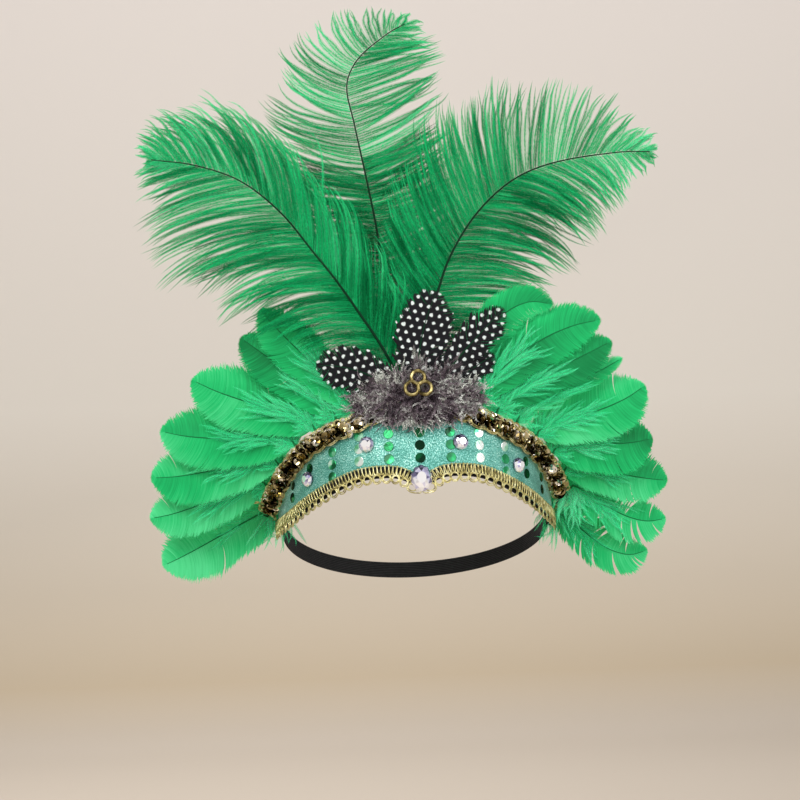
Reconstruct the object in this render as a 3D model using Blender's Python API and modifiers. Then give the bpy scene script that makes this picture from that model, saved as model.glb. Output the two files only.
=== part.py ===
"""Feather headband for the stage: a dotted tiara band with gold trims, feather fans and three tall plumes.

Lengths in the tables and constants are millimetres, angles are degrees. MM turns millimetres into metres.
The frame: +Z up, the wearer looks along -Y, and the origin is the middle of the head opening, level with the
lowest point of the braid over the forehead. A place on the band is an angle round the head (0 at the forehead,
positive towards +X), a height, and a distance out from the cloth's outer face.
"""

import math
from collections import namedtuple

import bmesh
import bpy
from mathutils import Matrix, Vector

MM = 0.001
GAP = 0.3

# Head opening and the band's outer face, an ellipse in plan that leans in as it rises
HALF_WIDTH = 84.0
HALF_DEPTH = 97.0
SIDE_LEAN = 0.05
FRONT_LEAN = 0.20
BAND_END = 88.0

# Walls, from the outside in
FABRIC_THICK = 1.2
BACKING_THICK = 1.5
STRAP_THICK = 1.0
QUILL_THICK = 2.2
QUILL_GAP = 0.5
VANE_THICK = 1.0
BACKING_OUT = -(FABRIC_THICK + GAP)
STRAP_OUT = BACKING_OUT - BACKING_THICK - GAP
PLUME_OUT = BACKING_OUT - BACKING_THICK - QUILL_GAP - QUILL_THICK / 2

# How finely the walls are divided along and up the band
FABRIC_COLUMNS = 36
FABRIC_ROWS = 2
BACKING_COLUMNS = 28
STRAP_COLUMNS = 30

# Heights of the band's edges, measured from the middle line of the lower braid
FABRIC_BELOW_BRAID = 2.4
BACKING_BELOW_BRAID = 4.4
TOP_MARGIN = 2.0
PEAK_DROP = 9.5
PEAK_WIDTH = 9.0
PEAK_POWER = 1.3

# Lower gold braid: a ribbon with a row of open loops under it
# A loop is a leg, a hole, a leg and a space, by share of its pitch
BRAID_HEIGHT = 6.0
BRAID_THICK = 1.4
BRAID_END = 87.0
LOOP_COUNT = 40
LOOP_DROP = 4.6
LOOP_WIRE = 0.9
LOOP_PLACES = (0.0, 0.2, 0.62, 0.82)
LOOP_TAPER = 0.16

# Sequin trim along the band's upper edge: a sequin slopes up along its pitch, then steps down to the next
# Its lower edge lies on the cloth, and it leans out from there, more and more towards the band's ends
TRIM_WIDTH = 13.0
TRIM_FOOT = 5.0
TRIM_THICK = 1.8
TRIM_LEAN = 56.0
TRIM_LEAN_START = 26.0
TRIM_LEAN_END = 74.0
TRIM_START = 14.0
TRIM_END = 87.0
SEQUIN_COUNT = 17
SEQUIN_RISE = 1.6
SEQUIN_STEP = 0.12

# Foil dots, bonded to the cloth in columns
DOT_RADIUS = 3.0
DOT_RISE = 0.4
DOT_SIDES = 8
DOT_COLUMN_STEP = 12.75
DOT_COLUMNS = 5
DOT_ROWS = range(-3, 5)
DOT_ROW_STEP = 7.4
DOT_FIRST_ROW = 20.0
DOT_SAG = 7.8
DOT_EDGE_BELOW = 5.6
DOT_EDGE_ABOVE = 7.0

# Elastic strap, which slopes down to the nape
STRAP_HEIGHT = 10.0
STRAP_START = 76.0
STRAP_END_HEIGHT = -17.0
STRAP_SLOPE = 0.36
STRAP_SLOPE_START = -14.0

Section = namedtuple("Section", "angle braid top")
BAND_SECTIONS = [
    Section(0, 14.5, 56.0),
    Section(13, 13.8, 48.0),
    Section(26, 11.3, 40.0),
    Section(37, 5.5, 34.0),
    Section(46, -0.3, 28.5),
    Section(55, -6.5, 20.5),
    Section(64, -12.8, 11.0),
    Section(73, -17.2, 1.0),
    Section(82, -20.5, -7.5),
    Section(88, -22.0, -12.4),
]

Stone = namedtuple("Stone", "name angle height half_width half_height rise")
STONES = [
    Stone("centre_stone", 0.0, 7.6, 6.4, 8.0, 4.4),
    Stone("upper_stone_left", -22.0, 28.6, 4.8, 4.8, 3.4),
    Stone("upper_stone_right", 17.0, 28.4, 4.8, 4.8, 3.4),
    Stone("side_stone_left", -51.5, 8.6, 4.6, 4.6, 3.2),
    Stone("side_stone_right", 45.0, 13.0, 4.6, 4.6, 3.2),
]
STONE_SIDES = 12
TABLE_SHARE = 0.55
GIRDLE_SHARE = 0.3
BOW_SHARE = 0.2

# A plume: its place on the band, points along its shaft above the band, and rows down each side of its vane
# A row: a barb's direction in the front view where it starts and ends, its length and how far it curls back
Barb = namedtuple("Barb", "station start end length curl")
Plume = namedtuple("Plume", "name angle shaft vane_start left right")
PLUME_SEATS = (34.0, 47.0, 59.0)
PLUME_QUILL_COLUMNS = 3
PLUME_LOCKS = 11
PLUME_ROWS = (0.0, 0.02, 0.3, 0.65, 1.0)
LOCK_HALF = 0.49
LOCK_TAPER = 0.37
SHAFT_REACH = 2.4
PLUMES = [
    Plume(
        "plume_left",
        -6.2,
        [(-19, -80, 84), (-32, -81.5, 105), (-46, -84, 126), (-59, -87, 143), (-77, -90, 166),
         (-100, -94, 185), (-126, -99, 194.5), (-159, -106, 198.5)],
        0.14,
        [Barb(0, 165, 190, 30, 0), Barb(0.15, 175, 203, 50, -1), Barb(0.3, 178, 207, 70, -4),
         Barb(0.45, 180, 207, 84, -8), Barb(0.6, 184, 205, 82, -10), Barb(0.75, 190, 208, 66, -8),
         Barb(0.9, 200, 218, 32, -4), Barb(1, 196, 204, 8, 0)],
        [Barb(0, 80, 75, 26, 0), Barb(0.15, 92, 94, 42, 0), Barb(0.3, 95, 105, 50, -1),
         Barb(0.45, 97, 112, 58, -2), Barb(0.6, 100, 122, 58, -3), Barb(0.75, 105, 132, 46, -3),
         Barb(0.9, 120, 143, 27, -2), Barb(1, 160, 155, 8, 0)],
    ),
    Plume(
        "plume_centre",
        0.0,
        [(-4, -75.5, 78), (-9, -68, 95), (-14.6, -63, 112), (-20.5, -58, 159.5), (-25.2, -57, 187),
         (-31.4, -58, 220), (-35.3, -61, 243), (-28.5, -66, 257.7), (-11.5, -73, 271), (-0.3, -77, 276.7)],
        0.20,
        [Barb(0, 168, 172, 26, 3), Barb(0.25, 172, 170, 50, 6), Barb(0.4, 170, 165, 55, 9),
         Barb(0.5, 168, 158, 60, 9), Barb(0.6, 165, 148, 60, 9), Barb(0.7, 160, 138, 52, 8),
         Barb(0.78, 152, 124, 40, 6), Barb(0.86, 132, 106, 25, 4), Barb(0.93, 100, 80, 15, 2),
         Barb(1, 48, 40, 7, 0)],
        [Barb(0, 8, 12, 26, 3), Barb(0.25, 10, 20, 50, 6), Barb(0.4, 14, 28, 55, 9),
         Barb(0.5, 18, 32, 60, 9), Barb(0.6, 24, 32, 64, 9), Barb(0.7, 28, 26, 64, 9),
         Barb(0.78, 26, 16, 58, 7), Barb(0.86, 16, -2, 44, 4), Barb(0.93, 4, -16, 26, 2),
         Barb(1, 12, 4, 9, 0)],
    ),
    Plume(
        "plume_right",
        6.2,
        [(8.5, -75, 80), (10, -72, 100), (15, -70, 119), (23.7, -70, 140.6), (40.2, -71, 164.8),
         (61.6, -74, 183), (85.6, -78, 192), (123.4, -87, 196.3), (141, -91, 195.8)],
        0.17,
        [Barb(0, 112, 104, 24, 0), Barb(0.2, 116, 102, 50, -1), Barb(0.3, 116, 100, 60, -2),
         Barb(0.4, 114, 96, 66, -3), Barb(0.5, 110, 92, 64, -3), Barb(0.6, 100, 86, 60, -3),
         Barb(0.7, 88, 74, 54, -3), Barb(0.8, 70, 56, 44, -2), Barb(0.9, 50, 38, 26, -1),
         Barb(1, 14, 8, 7, 0)],
        [Barb(0, -5, 0, 26, 0), Barb(0.2, -3, -10, 58, -1), Barb(0.3, -2, -20, 66, -2),
         Barb(0.4, -2, -30, 70, -3), Barb(0.5, -6, -42, 66, -5), Barb(0.6, -14, -50, 58, -5),
         Barb(0.7, -24, -56, 52, -4), Barb(0.8, -36, -62, 42, -3), Barb(0.9, -46, -66, 24, -2),
         Barb(1, -14, -20, 7, 0)],
    ),
]

# A short feather: where its quill stands on the band's edge, its tip, the way it points, its width and cup
Feather = namedtuple("Feather", "name angle out tip arrive width cup")
FAN_FEATHERS = [
    Feather("fan_feather_left_1", -27, 1.2, (-91, -71, 110), 128, 34, 3),
    Feather("fan_feather_left_2", -35, 1.2, (-103, -65, 94), 142, 35, 3),
    Feather("fan_feather_left_3", -44, 1.2, (-133, -58, 70), 150, 42, 3),
    Feather("fan_feather_left_4", -53, 1.2, (-153, -49, 40), 163, 42, 3),
    Feather("fan_feather_left_5", -62, 1.2, (-160, -38, 12), 178, 42, 3),
    Feather("fan_feather_left_6", -72, 1.2, (-162, -25, -13), 186, 38, 3),
    Feather("fan_feather_left_7", -BAND_END, -1.0, (-156, -6, -40), 202, 40, 3),
    Feather("fan_feather_right_1", 16, -3.2, (82, -78, 108), -22, 28, 1),
    Feather("fan_feather_right_2", 25, 1.2, (111, -76, 94), 5, 36, 3),
    Feather("fan_feather_right_3", 34, 1.2, (117, -70, 80), 25, 32, 3),
    Feather("fan_feather_right_4", 43, 1.2, (124, -64, 67), 30, 16, 3),
    Feather("fan_feather_right_5", 52, 1.2, (139, -56, 50), 38, 42, 3),
    Feather("fan_feather_right_6", 61, 1.2, (143, -45, 22), 14, 42, 3),
    Feather("fan_feather_right_7", 70, 1.2, (153, -32, -5), -4, 36, 3),
    Feather("fan_feather_right_8", 79, 2.4, (153, -19, -31), 18, 34, 3),
    Feather("fan_feather_right_9", BAND_END, -1.0, (143, -4, -52), 28, 32, 3),
]
GUINEA_FEATHERS = [
    Feather("guinea_feather_left", -9, 0.2, (-59, -86, 76), 182, 24, 1),
    Feather("guinea_feather_centre", 0, 1.0, (13, -88, 117), 62, 28, 1),
    Feather("guinea_feather_right", 7, 0.4, (52, -86.4, 106), 45, 20, 1),
    Feather("guinea_feather_low_right", 12, -0.6, (46, -83.3, 79), 28, 15, 1),
]

# A short feather's outline: share of the vane's length, share of its half width, and the barbs' sweep
Outline = namedtuple("Outline", "station width sweep")
OUTLINE = [
    Outline(0.0, 0.40, 50),
    Outline(0.2, 0.74, 55),
    Outline(0.4, 0.93, 60),
    Outline(0.6, 1.00, 66),
    Outline(0.8, 0.88, 78),
    Outline(1.0, 0.40, 98),
]
VANE_START = 0.08
FEATHER_ROWS = (0.0, 0.5, 1.0)
QUILL_RISE = 10.0
FOOT_SPREAD = 1.0
ARRIVE_SHARE = 0.45

# Tuft of grey down over the feather roots, in locks round a ring
DOWN_LOCKS = 12
DOWN_HEIGHT = 50.0
DOWN_RADIUS_ACROSS = 38.0
DOWN_RADIUS_UP = 20.0
DOWN_ROWS = (0.18, 0.38, 0.7, 1.0)
DOWN_LOCK_HALF = 0.48
DOWN_LOCK_TAPER = 0.38
DOWN_RAGGED = 0.16
DOWN_PHASE = 5.3
DOWN_THICK = 2.0
DOWN_LIFT = 6.0
DOWN_BOW = 0.2
SEAM = 0.05

# Trefoil of gold cord on the tuft
TREFOIL_HEIGHT = 60.5
TREFOIL_RING = 4.3
TREFOIL_CORD = 1.3
TREFOIL_SPREAD = 4.9
TREFOIL_SIDES = 9
CORD_SIDES = 5


def smooth_value(places, values, at):
    """Value at a place on a smooth curve through a table's rows."""
    if at <= places[0]:
        return values[0]
    if at >= places[-1]:
        return values[-1]
    row = max(i for i, place in enumerate(places[:-1]) if place <= at)

    def slope(i):
        before = max(i - 1, 0)
        after = min(i + 1, len(places) - 1)
        return (values[after] - values[before]) / (places[after] - places[before])

    span = places[row + 1] - places[row]
    t = (at - places[row]) / span
    return (
        (2 * t**3 - 3 * t**2 + 1) * values[row]
        + (t**3 - 2 * t**2 + t) * span * slope(row)
        + (3 * t**2 - 2 * t**3) * values[row + 1]
        + (t**3 - t**2) * span * slope(row + 1)
    )


def column(rows, name):
    """One named column of a table."""
    return [getattr(row, name) for row in rows]


class Shaft:
    """Smooth line through a feather's shaft points, read by share of its length."""

    def __init__(self, points):
        self.points = [Vector(p) for p in points]
        self.places = [0.0]
        for before, after in zip(self.points, self.points[1:]):
            self.places.append(self.places[-1] + (after - before).length)

    def at(self, share):
        """Point at a share of the length."""
        place = share * self.places[-1]
        return Vector([smooth_value(self.places, [p[axis] for p in self.points], place) for axis in range(3)])

    def across(self, share):
        """Unit vector to the left of the shaft, in the front view's plane."""
        step = 0.01
        way = self.at(min(share + step, 1.0)) - self.at(max(share - step, 0.0))
        return Vector((-way.z, 0.0, way.x)).normalized()


def band_point(angle, height, out):
    """Point in metres at a distance out from the band's outer face."""
    turn = math.radians(angle)
    half_width = HALF_WIDTH - SIDE_LEAN * height
    half_depth = HALF_DEPTH - FRONT_LEAN * height
    way = Vector((math.sin(turn) / half_width, -math.cos(turn) / half_depth)).normalized()
    x = half_width * math.sin(turn) + way.x * out
    y = -half_depth * math.cos(turn) + way.y * out
    return Vector((x, y, height)) * MM


def band_matrix(angle, height, out):
    """Placement on the leaning cloth whose Z points out of it and whose Y points up it."""
    along = band_point(angle + 1, height, 0.0) - band_point(angle - 1, height, 0.0)
    up = (band_point(angle, height + 1, 0.0) - band_point(angle, height, 0.0)).normalized()
    outward = along.cross(up).normalized()
    turn = Matrix((up.cross(outward), up, outward)).transposed()
    return Matrix.Translation(band_point(angle, height, 0.0) + outward * out * MM) @ turn.to_4x4()


def braid_height(angle):
    """Height of the lower braid's middle line, with its dip over the forehead."""
    arch = smooth_value(column(BAND_SECTIONS, "angle"), column(BAND_SECTIONS, "braid"), abs(angle))
    across = HALF_WIDTH * math.sin(math.radians(abs(angle)))
    return arch - PEAK_DROP * math.exp(-((across / PEAK_WIDTH) ** PEAK_POWER))


def trim_height(angle):
    """Height of the sequin trim's middle line."""
    return smooth_value(column(BAND_SECTIONS, "angle"), column(BAND_SECTIONS, "top"), abs(angle))


def trim_point(angle, rise, lift):
    """Point of the sequin trim at a distance up from its lower edge and out from its back."""
    share = (abs(angle) - TRIM_LEAN_START) / (TRIM_LEAN_END - TRIM_LEAN_START)
    share = min(max(share, 0.0), 1.0)
    lean = math.radians(TRIM_LEAN * share**2 * (3 - 2 * share))
    height = trim_height(angle) - TRIM_FOOT + rise * math.cos(lean) - lift * math.sin(lean)
    return band_point(angle, height, GAP + rise * math.sin(lean) + lift * math.cos(lean))


def material(name, colour, roughness, metallic=0.0):
    """Principled material of one colour."""
    made = bpy.data.materials.new(name)
    made.use_nodes = True
    shader = made.node_tree.nodes["Principled BSDF"]
    shader.inputs["Base Color"].default_value = (*colour, 1.0)
    shader.inputs["Roughness"].default_value = roughness
    shader.inputs["Metallic"].default_value = metallic
    made.diffuse_color = (*colour, 1.0)
    return made


def add_object(name, mesh, finish, collection):
    """Object of a finished mesh, in a collection."""
    made = bpy.data.objects.new(name, mesh)
    collection.objects.link(made)
    if finish is not None:
        made.data.materials.append(finish)
    return made


def grid_index(co, columns, rows):
    """Column and row of a point of a unit grid."""
    return round((co.x + 0.5) * columns), round((co.y + 0.5) * rows)


def grid_mesh(name, columns, rows, place, keep=None):
    """Mesh of a grid whose point (i, j) goes to place(i, j), without the faces that keep(i, j) refuses."""
    work = bmesh.new()
    bmesh.ops.create_grid(work, x_segments=columns, y_segments=rows, size=0.5)
    if keep is not None:
        half_cell = Vector((0.5 / columns, 0.5 / rows, 0.0))
        refused = [
            face
            for face in work.faces
            if not keep(*grid_index(face.calc_center_median() - half_cell, columns, rows))
        ]
        bmesh.ops.delete(work, geom=refused, context="FACES")
    for vertex in work.verts:
        vertex.co = place(*grid_index(vertex.co, columns, rows))
    return finished_mesh(name, work)


def slab_mesh(name, columns, rows, place):
    """Closed mesh of a slab whose point (i, j) of the back (0) or front (1) goes to place(i, j, layer)."""
    work = bmesh.new()
    bmesh.ops.create_grid(work, x_segments=columns, y_segments=rows, size=0.5)
    front = bmesh.ops.extrude_face_region(work, geom=list(work.faces))["geom"]
    corners = [item for item in front if isinstance(item, bmesh.types.BMVert)]
    bmesh.ops.translate(work, verts=corners, vec=(0, 0, 1))
    for vertex in work.verts:
        vertex.co = place(*grid_index(vertex.co, columns, rows), round(vertex.co.z))
    bmesh.ops.recalc_face_normals(work, faces=work.faces)
    if work.calc_volume(signed=True) < 0:
        bmesh.ops.reverse_faces(work, faces=work.faces)
    return finished_mesh(name, work)


def finished_mesh(name, work):
    """Mesh made from a bmesh, which is freed."""
    mesh = bpy.data.meshes.new(name)
    work.to_mesh(mesh)
    work.free()
    return mesh


def add_thickness(made, thick, offset):
    """Solidify a sheet by a thickness in millimetres."""
    wall = made.modifiers.new("wall", "SOLIDIFY")
    wall.thickness = thick * MM
    wall.offset = offset
    return wall


def fuse(made, guide):
    """Join a guide object's shape to an object and hide the guide."""
    guide.hide_render = True
    guide.display_type = "WIRE"
    join = made.modifiers.new("join", "BOOLEAN")
    join.operation = "UNION"
    join.object = guide
    join.solver = "EXACT"


def band_sheet(name, columns, rows, bottom, top, out, thick, finish, collection):
    """Wall that follows the band between two edges, from its outer face inwards."""

    def place(i, j):
        angle = (2 * i / columns - 1) * BAND_END
        low = bottom(angle)
        return band_point(angle, low + (top(angle) - low) * j / rows, out)

    made = add_object(name, grid_mesh(name, columns, rows, place), finish, collection)
    add_thickness(made, thick, -1.0)
    return made


def dot_places():
    """Angle and height of each foil dot that fits between the braid and the trim."""
    for k in range(-DOT_COLUMNS, DOT_COLUMNS + 1):
        angle = k * DOT_COLUMN_STEP
        lowest = DOT_FIRST_ROW - DOT_SAG * (k / DOT_COLUMNS) ** 2
        for row in DOT_ROWS:
            height = lowest + row * DOT_ROW_STEP
            above_braid = height > braid_height(angle) + DOT_EDGE_BELOW
            if above_braid and height < trim_height(angle) - DOT_EDGE_ABOVE:
                yield angle, height


def build_fabric(finish, parts, cutters):
    """Dotted cloth on the band's face, its foil dots fused to it."""
    fabric = band_sheet(
        "band_fabric",
        FABRIC_COLUMNS,
        FABRIC_ROWS,
        lambda angle: braid_height(angle) - FABRIC_BELOW_BRAID,
        lambda angle: trim_height(angle) + TOP_MARGIN,
        0.0,
        FABRIC_THICK,
        finish,
        parts,
    )
    work = bmesh.new()
    deep = FABRIC_THICK / 2
    for angle, height in dot_places():
        place = band_matrix(angle, height, (DOT_RISE - deep) / 2)
        bmesh.ops.create_cone(
            work,
            cap_ends=True,
            segments=DOT_SIDES,
            radius1=DOT_RADIUS * MM,
            radius2=DOT_RADIUS * MM,
            depth=(DOT_RISE + deep) * MM,
            matrix=place,
        )
    fuse(fabric, add_object("foil_dots", finished_mesh("foil_dots", work), None, cutters))


def build_backing(finish, parts):
    """Black backing behind the cloth, a little lower than it."""
    band_sheet(
        "band_backing",
        BACKING_COLUMNS,
        1,
        lambda angle: braid_height(angle) - BACKING_BELOW_BRAID,
        lambda angle: trim_height(angle) + TOP_MARGIN,
        BACKING_OUT,
        BACKING_THICK,
        finish,
        parts,
    )


def build_strap(finish, parts):
    """Elastic from one end of the band round the back of the head to the other."""

    def place(i, j):
        angle = STRAP_START + (360 - 2 * STRAP_START) * i / STRAP_COLUMNS
        depth = band_point(angle, STRAP_END_HEIGHT, STRAP_OUT).y / MM
        middle = STRAP_END_HEIGHT - STRAP_SLOPE * max(depth - STRAP_SLOPE_START, 0.0)
        height = middle + STRAP_HEIGHT * (j - 0.5)
        turn = math.radians(angle)
        half_width = HALF_WIDTH + STRAP_OUT - SIDE_LEAN * height
        half_depth = HALF_DEPTH + STRAP_OUT
        return Vector((half_width * math.sin(turn), -half_depth * math.cos(turn), height)) * MM

    made = add_object("elastic_strap", grid_mesh("elastic_strap", STRAP_COLUMNS, 1, place), finish, parts)
    add_thickness(made, STRAP_THICK, -1.0)


def build_edge_braid(finish, parts):
    """Gold ribbon along the lower edge with open loops under it."""
    leg, _, other_leg, space = range(4)
    foot, legs, ribbon = range(3)
    columns = 4 * LOOP_COUNT

    def keep(i, j):
        part = i % 4
        kept = {ribbon: True, legs: part in (leg, other_leg), foot: part != space}
        return kept[j]

    def place(i, j):
        loop, part = divmod(i, 4)
        share = loop + LOOP_PLACES[part]
        if j == foot and part == leg:
            share += LOOP_TAPER
        elif j == foot and part == space:
            share -= LOOP_TAPER
        angle = (2 * share / LOOP_COUNT - 1) * BRAID_END
        middle = braid_height(angle)
        low = middle - BRAID_HEIGHT / 2
        heights = (low - LOOP_DROP, low - LOOP_DROP + LOOP_WIRE, low, middle + BRAID_HEIGHT / 2)
        return band_point(angle, heights[j], GAP + BRAID_THICK)

    mesh = grid_mesh("edge_braid", columns, ribbon + 1, place, keep)
    add_thickness(add_object("edge_braid", mesh, finish, parts), BRAID_THICK, -1.0)


def build_sequin_trim(name, side, finish, parts):
    """Gold trim of overlapping sequins on one side of the upper edge, flat at the back."""
    rows = 3

    def place(i, j, layer):
        sequin, part = divmod(i, 2)
        share = (sequin + part * (1 - SEQUIN_STEP)) / SEQUIN_COUNT
        angle = side * (TRIM_START + (TRIM_END - TRIM_START) * share)
        raised = SEQUIN_RISE * part * (0 < j < rows)
        return trim_point(angle, TRIM_WIDTH * j / rows, (TRIM_THICK + raised) * layer)

    add_object(name, slab_mesh(name, 2 * SEQUIN_COUNT, rows, place), finish, parts)


def stone_seat(stone):
    """How far out a stone's flat back stands, over the bowed cloth and the dots or the braid under it."""
    bow = stone.half_width**2 / (2 * HALF_WIDTH)
    below = BRAID_THICK + GAP if stone.name == "centre_stone" else DOT_RISE
    return below + GAP + BOW_SHARE * bow


def build_stone(stone, finish, parts):
    """Flat-backed cut stone: a girdle, a ring of crown facets and a table."""
    work = bmesh.new()
    girdle = stone.rise * GIRDLE_SHARE
    crown = stone.rise - girdle
    bmesh.ops.create_cone(
        work,
        cap_ends=True,
        segments=STONE_SIDES,
        radius1=MM,
        radius2=TABLE_SHARE * MM,
        depth=crown * MM,
        matrix=Matrix.Translation((0, 0, (girdle + crown / 2) * MM)),
    )
    base = min(work.faces, key=lambda face: face.calc_center_median().z)
    lowered = bmesh.ops.extrude_face_region(work, geom=[base])["geom"]
    corners = [item for item in lowered if isinstance(item, bmesh.types.BMVert)]
    bmesh.ops.translate(work, verts=corners, vec=(0, 0, -girdle * MM))
    bmesh.ops.delete(work, geom=[base], context="FACES_ONLY")
    bmesh.ops.scale(work, vec=(stone.half_width, stone.half_height, 1), verts=work.verts)
    bmesh.ops.recalc_face_normals(work, faces=work.faces)
    made = add_object(stone.name, finished_mesh(stone.name, work), finish, parts)
    made.matrix_world = band_matrix(stone.angle, stone.height, stone_seat(stone))


def bent_point(start, first, last, length, share):
    """Offset in the front view along a barb that turns evenly from one direction to another."""
    turn = math.radians(last - first)
    begin = math.radians(first)
    if abs(turn) < 1e-4:
        across = math.cos(begin) * share
        up = math.sin(begin) * share
    else:
        across = (math.sin(begin + turn * share) - math.sin(begin)) / turn
        up = (math.cos(begin) - math.cos(begin + turn * share)) / turn
    return start + Vector((across * length, 0.0, up * length))


def plume_quill(plume):
    """Shaft points that lie against the back of the band, from the foot to its top edge."""
    return [band_point(plume.angle, height, PLUME_OUT) / MM for height in PLUME_SEATS]


def build_plume(plume, finish, parts):
    """Ostrich plume: a thick shaft whose barbs hang in locks, joined near it and free at their tips."""
    shaft = Shaft(plume_quill(plume) + plume.shaft)
    side_rows = len(PLUME_ROWS) - 1

    def keep(i, j):
        from_shaft = side_rows - 1 - j if j < side_rows else j - side_rows
        if i <= PLUME_QUILL_COLUMNS:
            return from_shaft == 0
        between_locks = (i - PLUME_QUILL_COLUMNS) % 2 == 0
        return from_shaft < 2 or not between_locks

    def place(i, j):
        side = 1 if j < side_rows else -1
        row = abs(j - side_rows)
        out = PLUME_ROWS[row]
        if i <= PLUME_QUILL_COLUMNS:
            station = 0.0
            share = plume.vane_start * i / PLUME_QUILL_COLUMNS
        else:
            lock, edge = divmod(i - PLUME_QUILL_COLUMNS - 1, 2)
            half = LOCK_HALF - LOCK_TAPER * out**3
            station = (lock + 0.5 + half * (2 * edge - 1)) / PLUME_LOCKS
            share = plume.vane_start + (1 - plume.vane_start) * station
        start = shaft.at(share) + shaft.across(share) * side * min(row, 1) * QUILL_THICK / 2
        if row < 2:
            return start * MM
        rows = plume.left if side > 0 else plume.right
        stations = column(rows, "station")
        first, last, length, curl = (
            smooth_value(stations, column(rows, name), station) for name in ("start", "end", "length", "curl")
        )
        point = bent_point(start, first, last, length, out)
        point.y += curl * out**2
        return point * MM

    columns = PLUME_QUILL_COLUMNS + 2 * PLUME_LOCKS
    made = add_object(plume.name, grid_mesh(plume.name, columns, 2 * side_rows, place, keep), finish, parts)
    thicken_feather(made, shaft)


def thicken_feather(made, shaft):
    """Give a feather its wall: thick along the shaft, thin in the vane."""
    samples = 60
    line = [shaft.at(i / samples) * MM for i in range(samples + 1)]
    group = made.vertex_groups.new(name="shaft")
    for vertex in made.data.vertices:
        near = min((vertex.co - point).length for point in line)
        group.add([vertex.index], float(near < SHAFT_REACH * MM), "REPLACE")
    wall = add_thickness(made, QUILL_THICK, 0.0)
    wall.vertex_group = group.name
    wall.thickness_vertex_group = VANE_THICK / QUILL_THICK


def feather_root(feather):
    """Where a feather's quill stands: on the trim, on the band's top edge, or against the band's end."""
    if abs(feather.angle) >= BAND_END:
        end = band_point(feather.angle, trim_height(feather.angle), feather.out) / MM
        return end + Vector((0.0, QUILL_THICK / 2 + GAP, 0.0))
    highest = trim_height(max(abs(feather.angle) - FOOT_SPREAD, 0.0))
    if feather.out > 0 and abs(feather.angle) > TRIM_START:
        climb = highest - trim_height(feather.angle)
        edge = trim_point(feather.angle, TRIM_WIDTH + GAP, feather.out - GAP) / MM
        return edge + Vector((0.0, 0.0, climb))
    return band_point(feather.angle, highest + TOP_MARGIN + GAP, feather.out) / MM


def feather_shaft(feather, root):
    """Shaft of a short feather: up out of the band, then over to its tip."""
    tip = Vector(feather.tip)
    turn = math.radians(feather.arrive)
    arrive = tip - Vector((math.cos(turn), 0.0, math.sin(turn))) * (tip - root).length * ARRIVE_SHARE
    rise = root + Vector((0.0, 0.0, QUILL_RISE))
    steps = 8
    points = []
    for step in range(steps + 1):
        t = step / steps
        points.append(
            root * (1 - t) ** 3 + rise * 3 * t * (1 - t) ** 2 + arrive * 3 * t**2 * (1 - t) + tip * t**3
        )
    return Shaft(points)


def build_feather(feather, finish, parts):
    """Short feather: a quill and one rounded, cupped vane."""
    shaft = feather_shaft(feather, feather_root(feather))
    side_rows = len(FEATHER_ROWS) - 1

    def keep(i, j):
        return i > 0 or j in (side_rows - 1, side_rows)

    def place(i, j):
        side = 1 if j < side_rows else -1
        row = abs(j - side_rows)
        if i == 0:
            return (shaft.at(0.0) + shaft.across(0.0) * side * row * QUILL_THICK / 2) * MM
        outline = OUTLINE[i - 1]
        share = VANE_START + (1 - VANE_START) * outline.station
        across = shaft.across(share) * side
        along = Vector((across.z, 0.0, -across.x)) * side
        out = FEATHER_ROWS[row]
        reach = feather.width / 2 * outline.width * out
        point = shaft.at(share) + across * reach + along * reach / math.tan(math.radians(outline.sweep))
        point.y += feather.cup * out**2 * outline.width
        return point * MM

    mesh = grid_mesh(feather.name, len(OUTLINE), 2 * side_rows, place, keep)
    thicken_feather(add_object(feather.name, mesh, finish, parts), shaft)


def build_down(finish, parts):
    """Tuft of grey down: a ring of locks that starts on the cloth and lifts clear of the trims."""
    middle = band_matrix(0.0, DOWN_HEIGHT, GAP + DOWN_THICK)

    def keep(i, j):
        between_locks = i % 2 == 1
        return j == 0 or not between_locks

    def place(i, j):
        lock, edge = divmod(i, 2)
        out = DOWN_ROWS[j]
        half = DOWN_LOCK_HALF - DOWN_LOCK_TAPER * out**2
        turn = 2 * math.pi * (lock + half * (2 * edge - 1)) / DOWN_LOCKS
        length = out * (1.0 + DOWN_RAGGED * math.sin(DOWN_PHASE * (lock % DOWN_LOCKS)))
        across = DOWN_RADIUS_ACROSS * length * math.cos(turn)
        up = DOWN_RADIUS_UP * length * math.sin(turn)
        raised = min((out - DOWN_ROWS[0]) / (DOWN_ROWS[1] - DOWN_ROWS[0]), 1.0)
        lift = DOWN_LIFT * raised - DOWN_BOW * across**2 / (2 * HALF_WIDTH)
        return middle @ (Vector((across, up, lift)) * MM)

    mesh = grid_mesh("down_tuft", 2 * DOWN_LOCKS, len(DOWN_ROWS) - 1, place, keep)
    work = bmesh.new()
    work.from_mesh(mesh)
    bmesh.ops.remove_doubles(work, verts=work.verts, dist=SEAM * MM)
    work.to_mesh(mesh)
    work.free()
    add_thickness(add_object("down_tuft", mesh, finish, parts), DOWN_THICK, 1.0)


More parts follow.
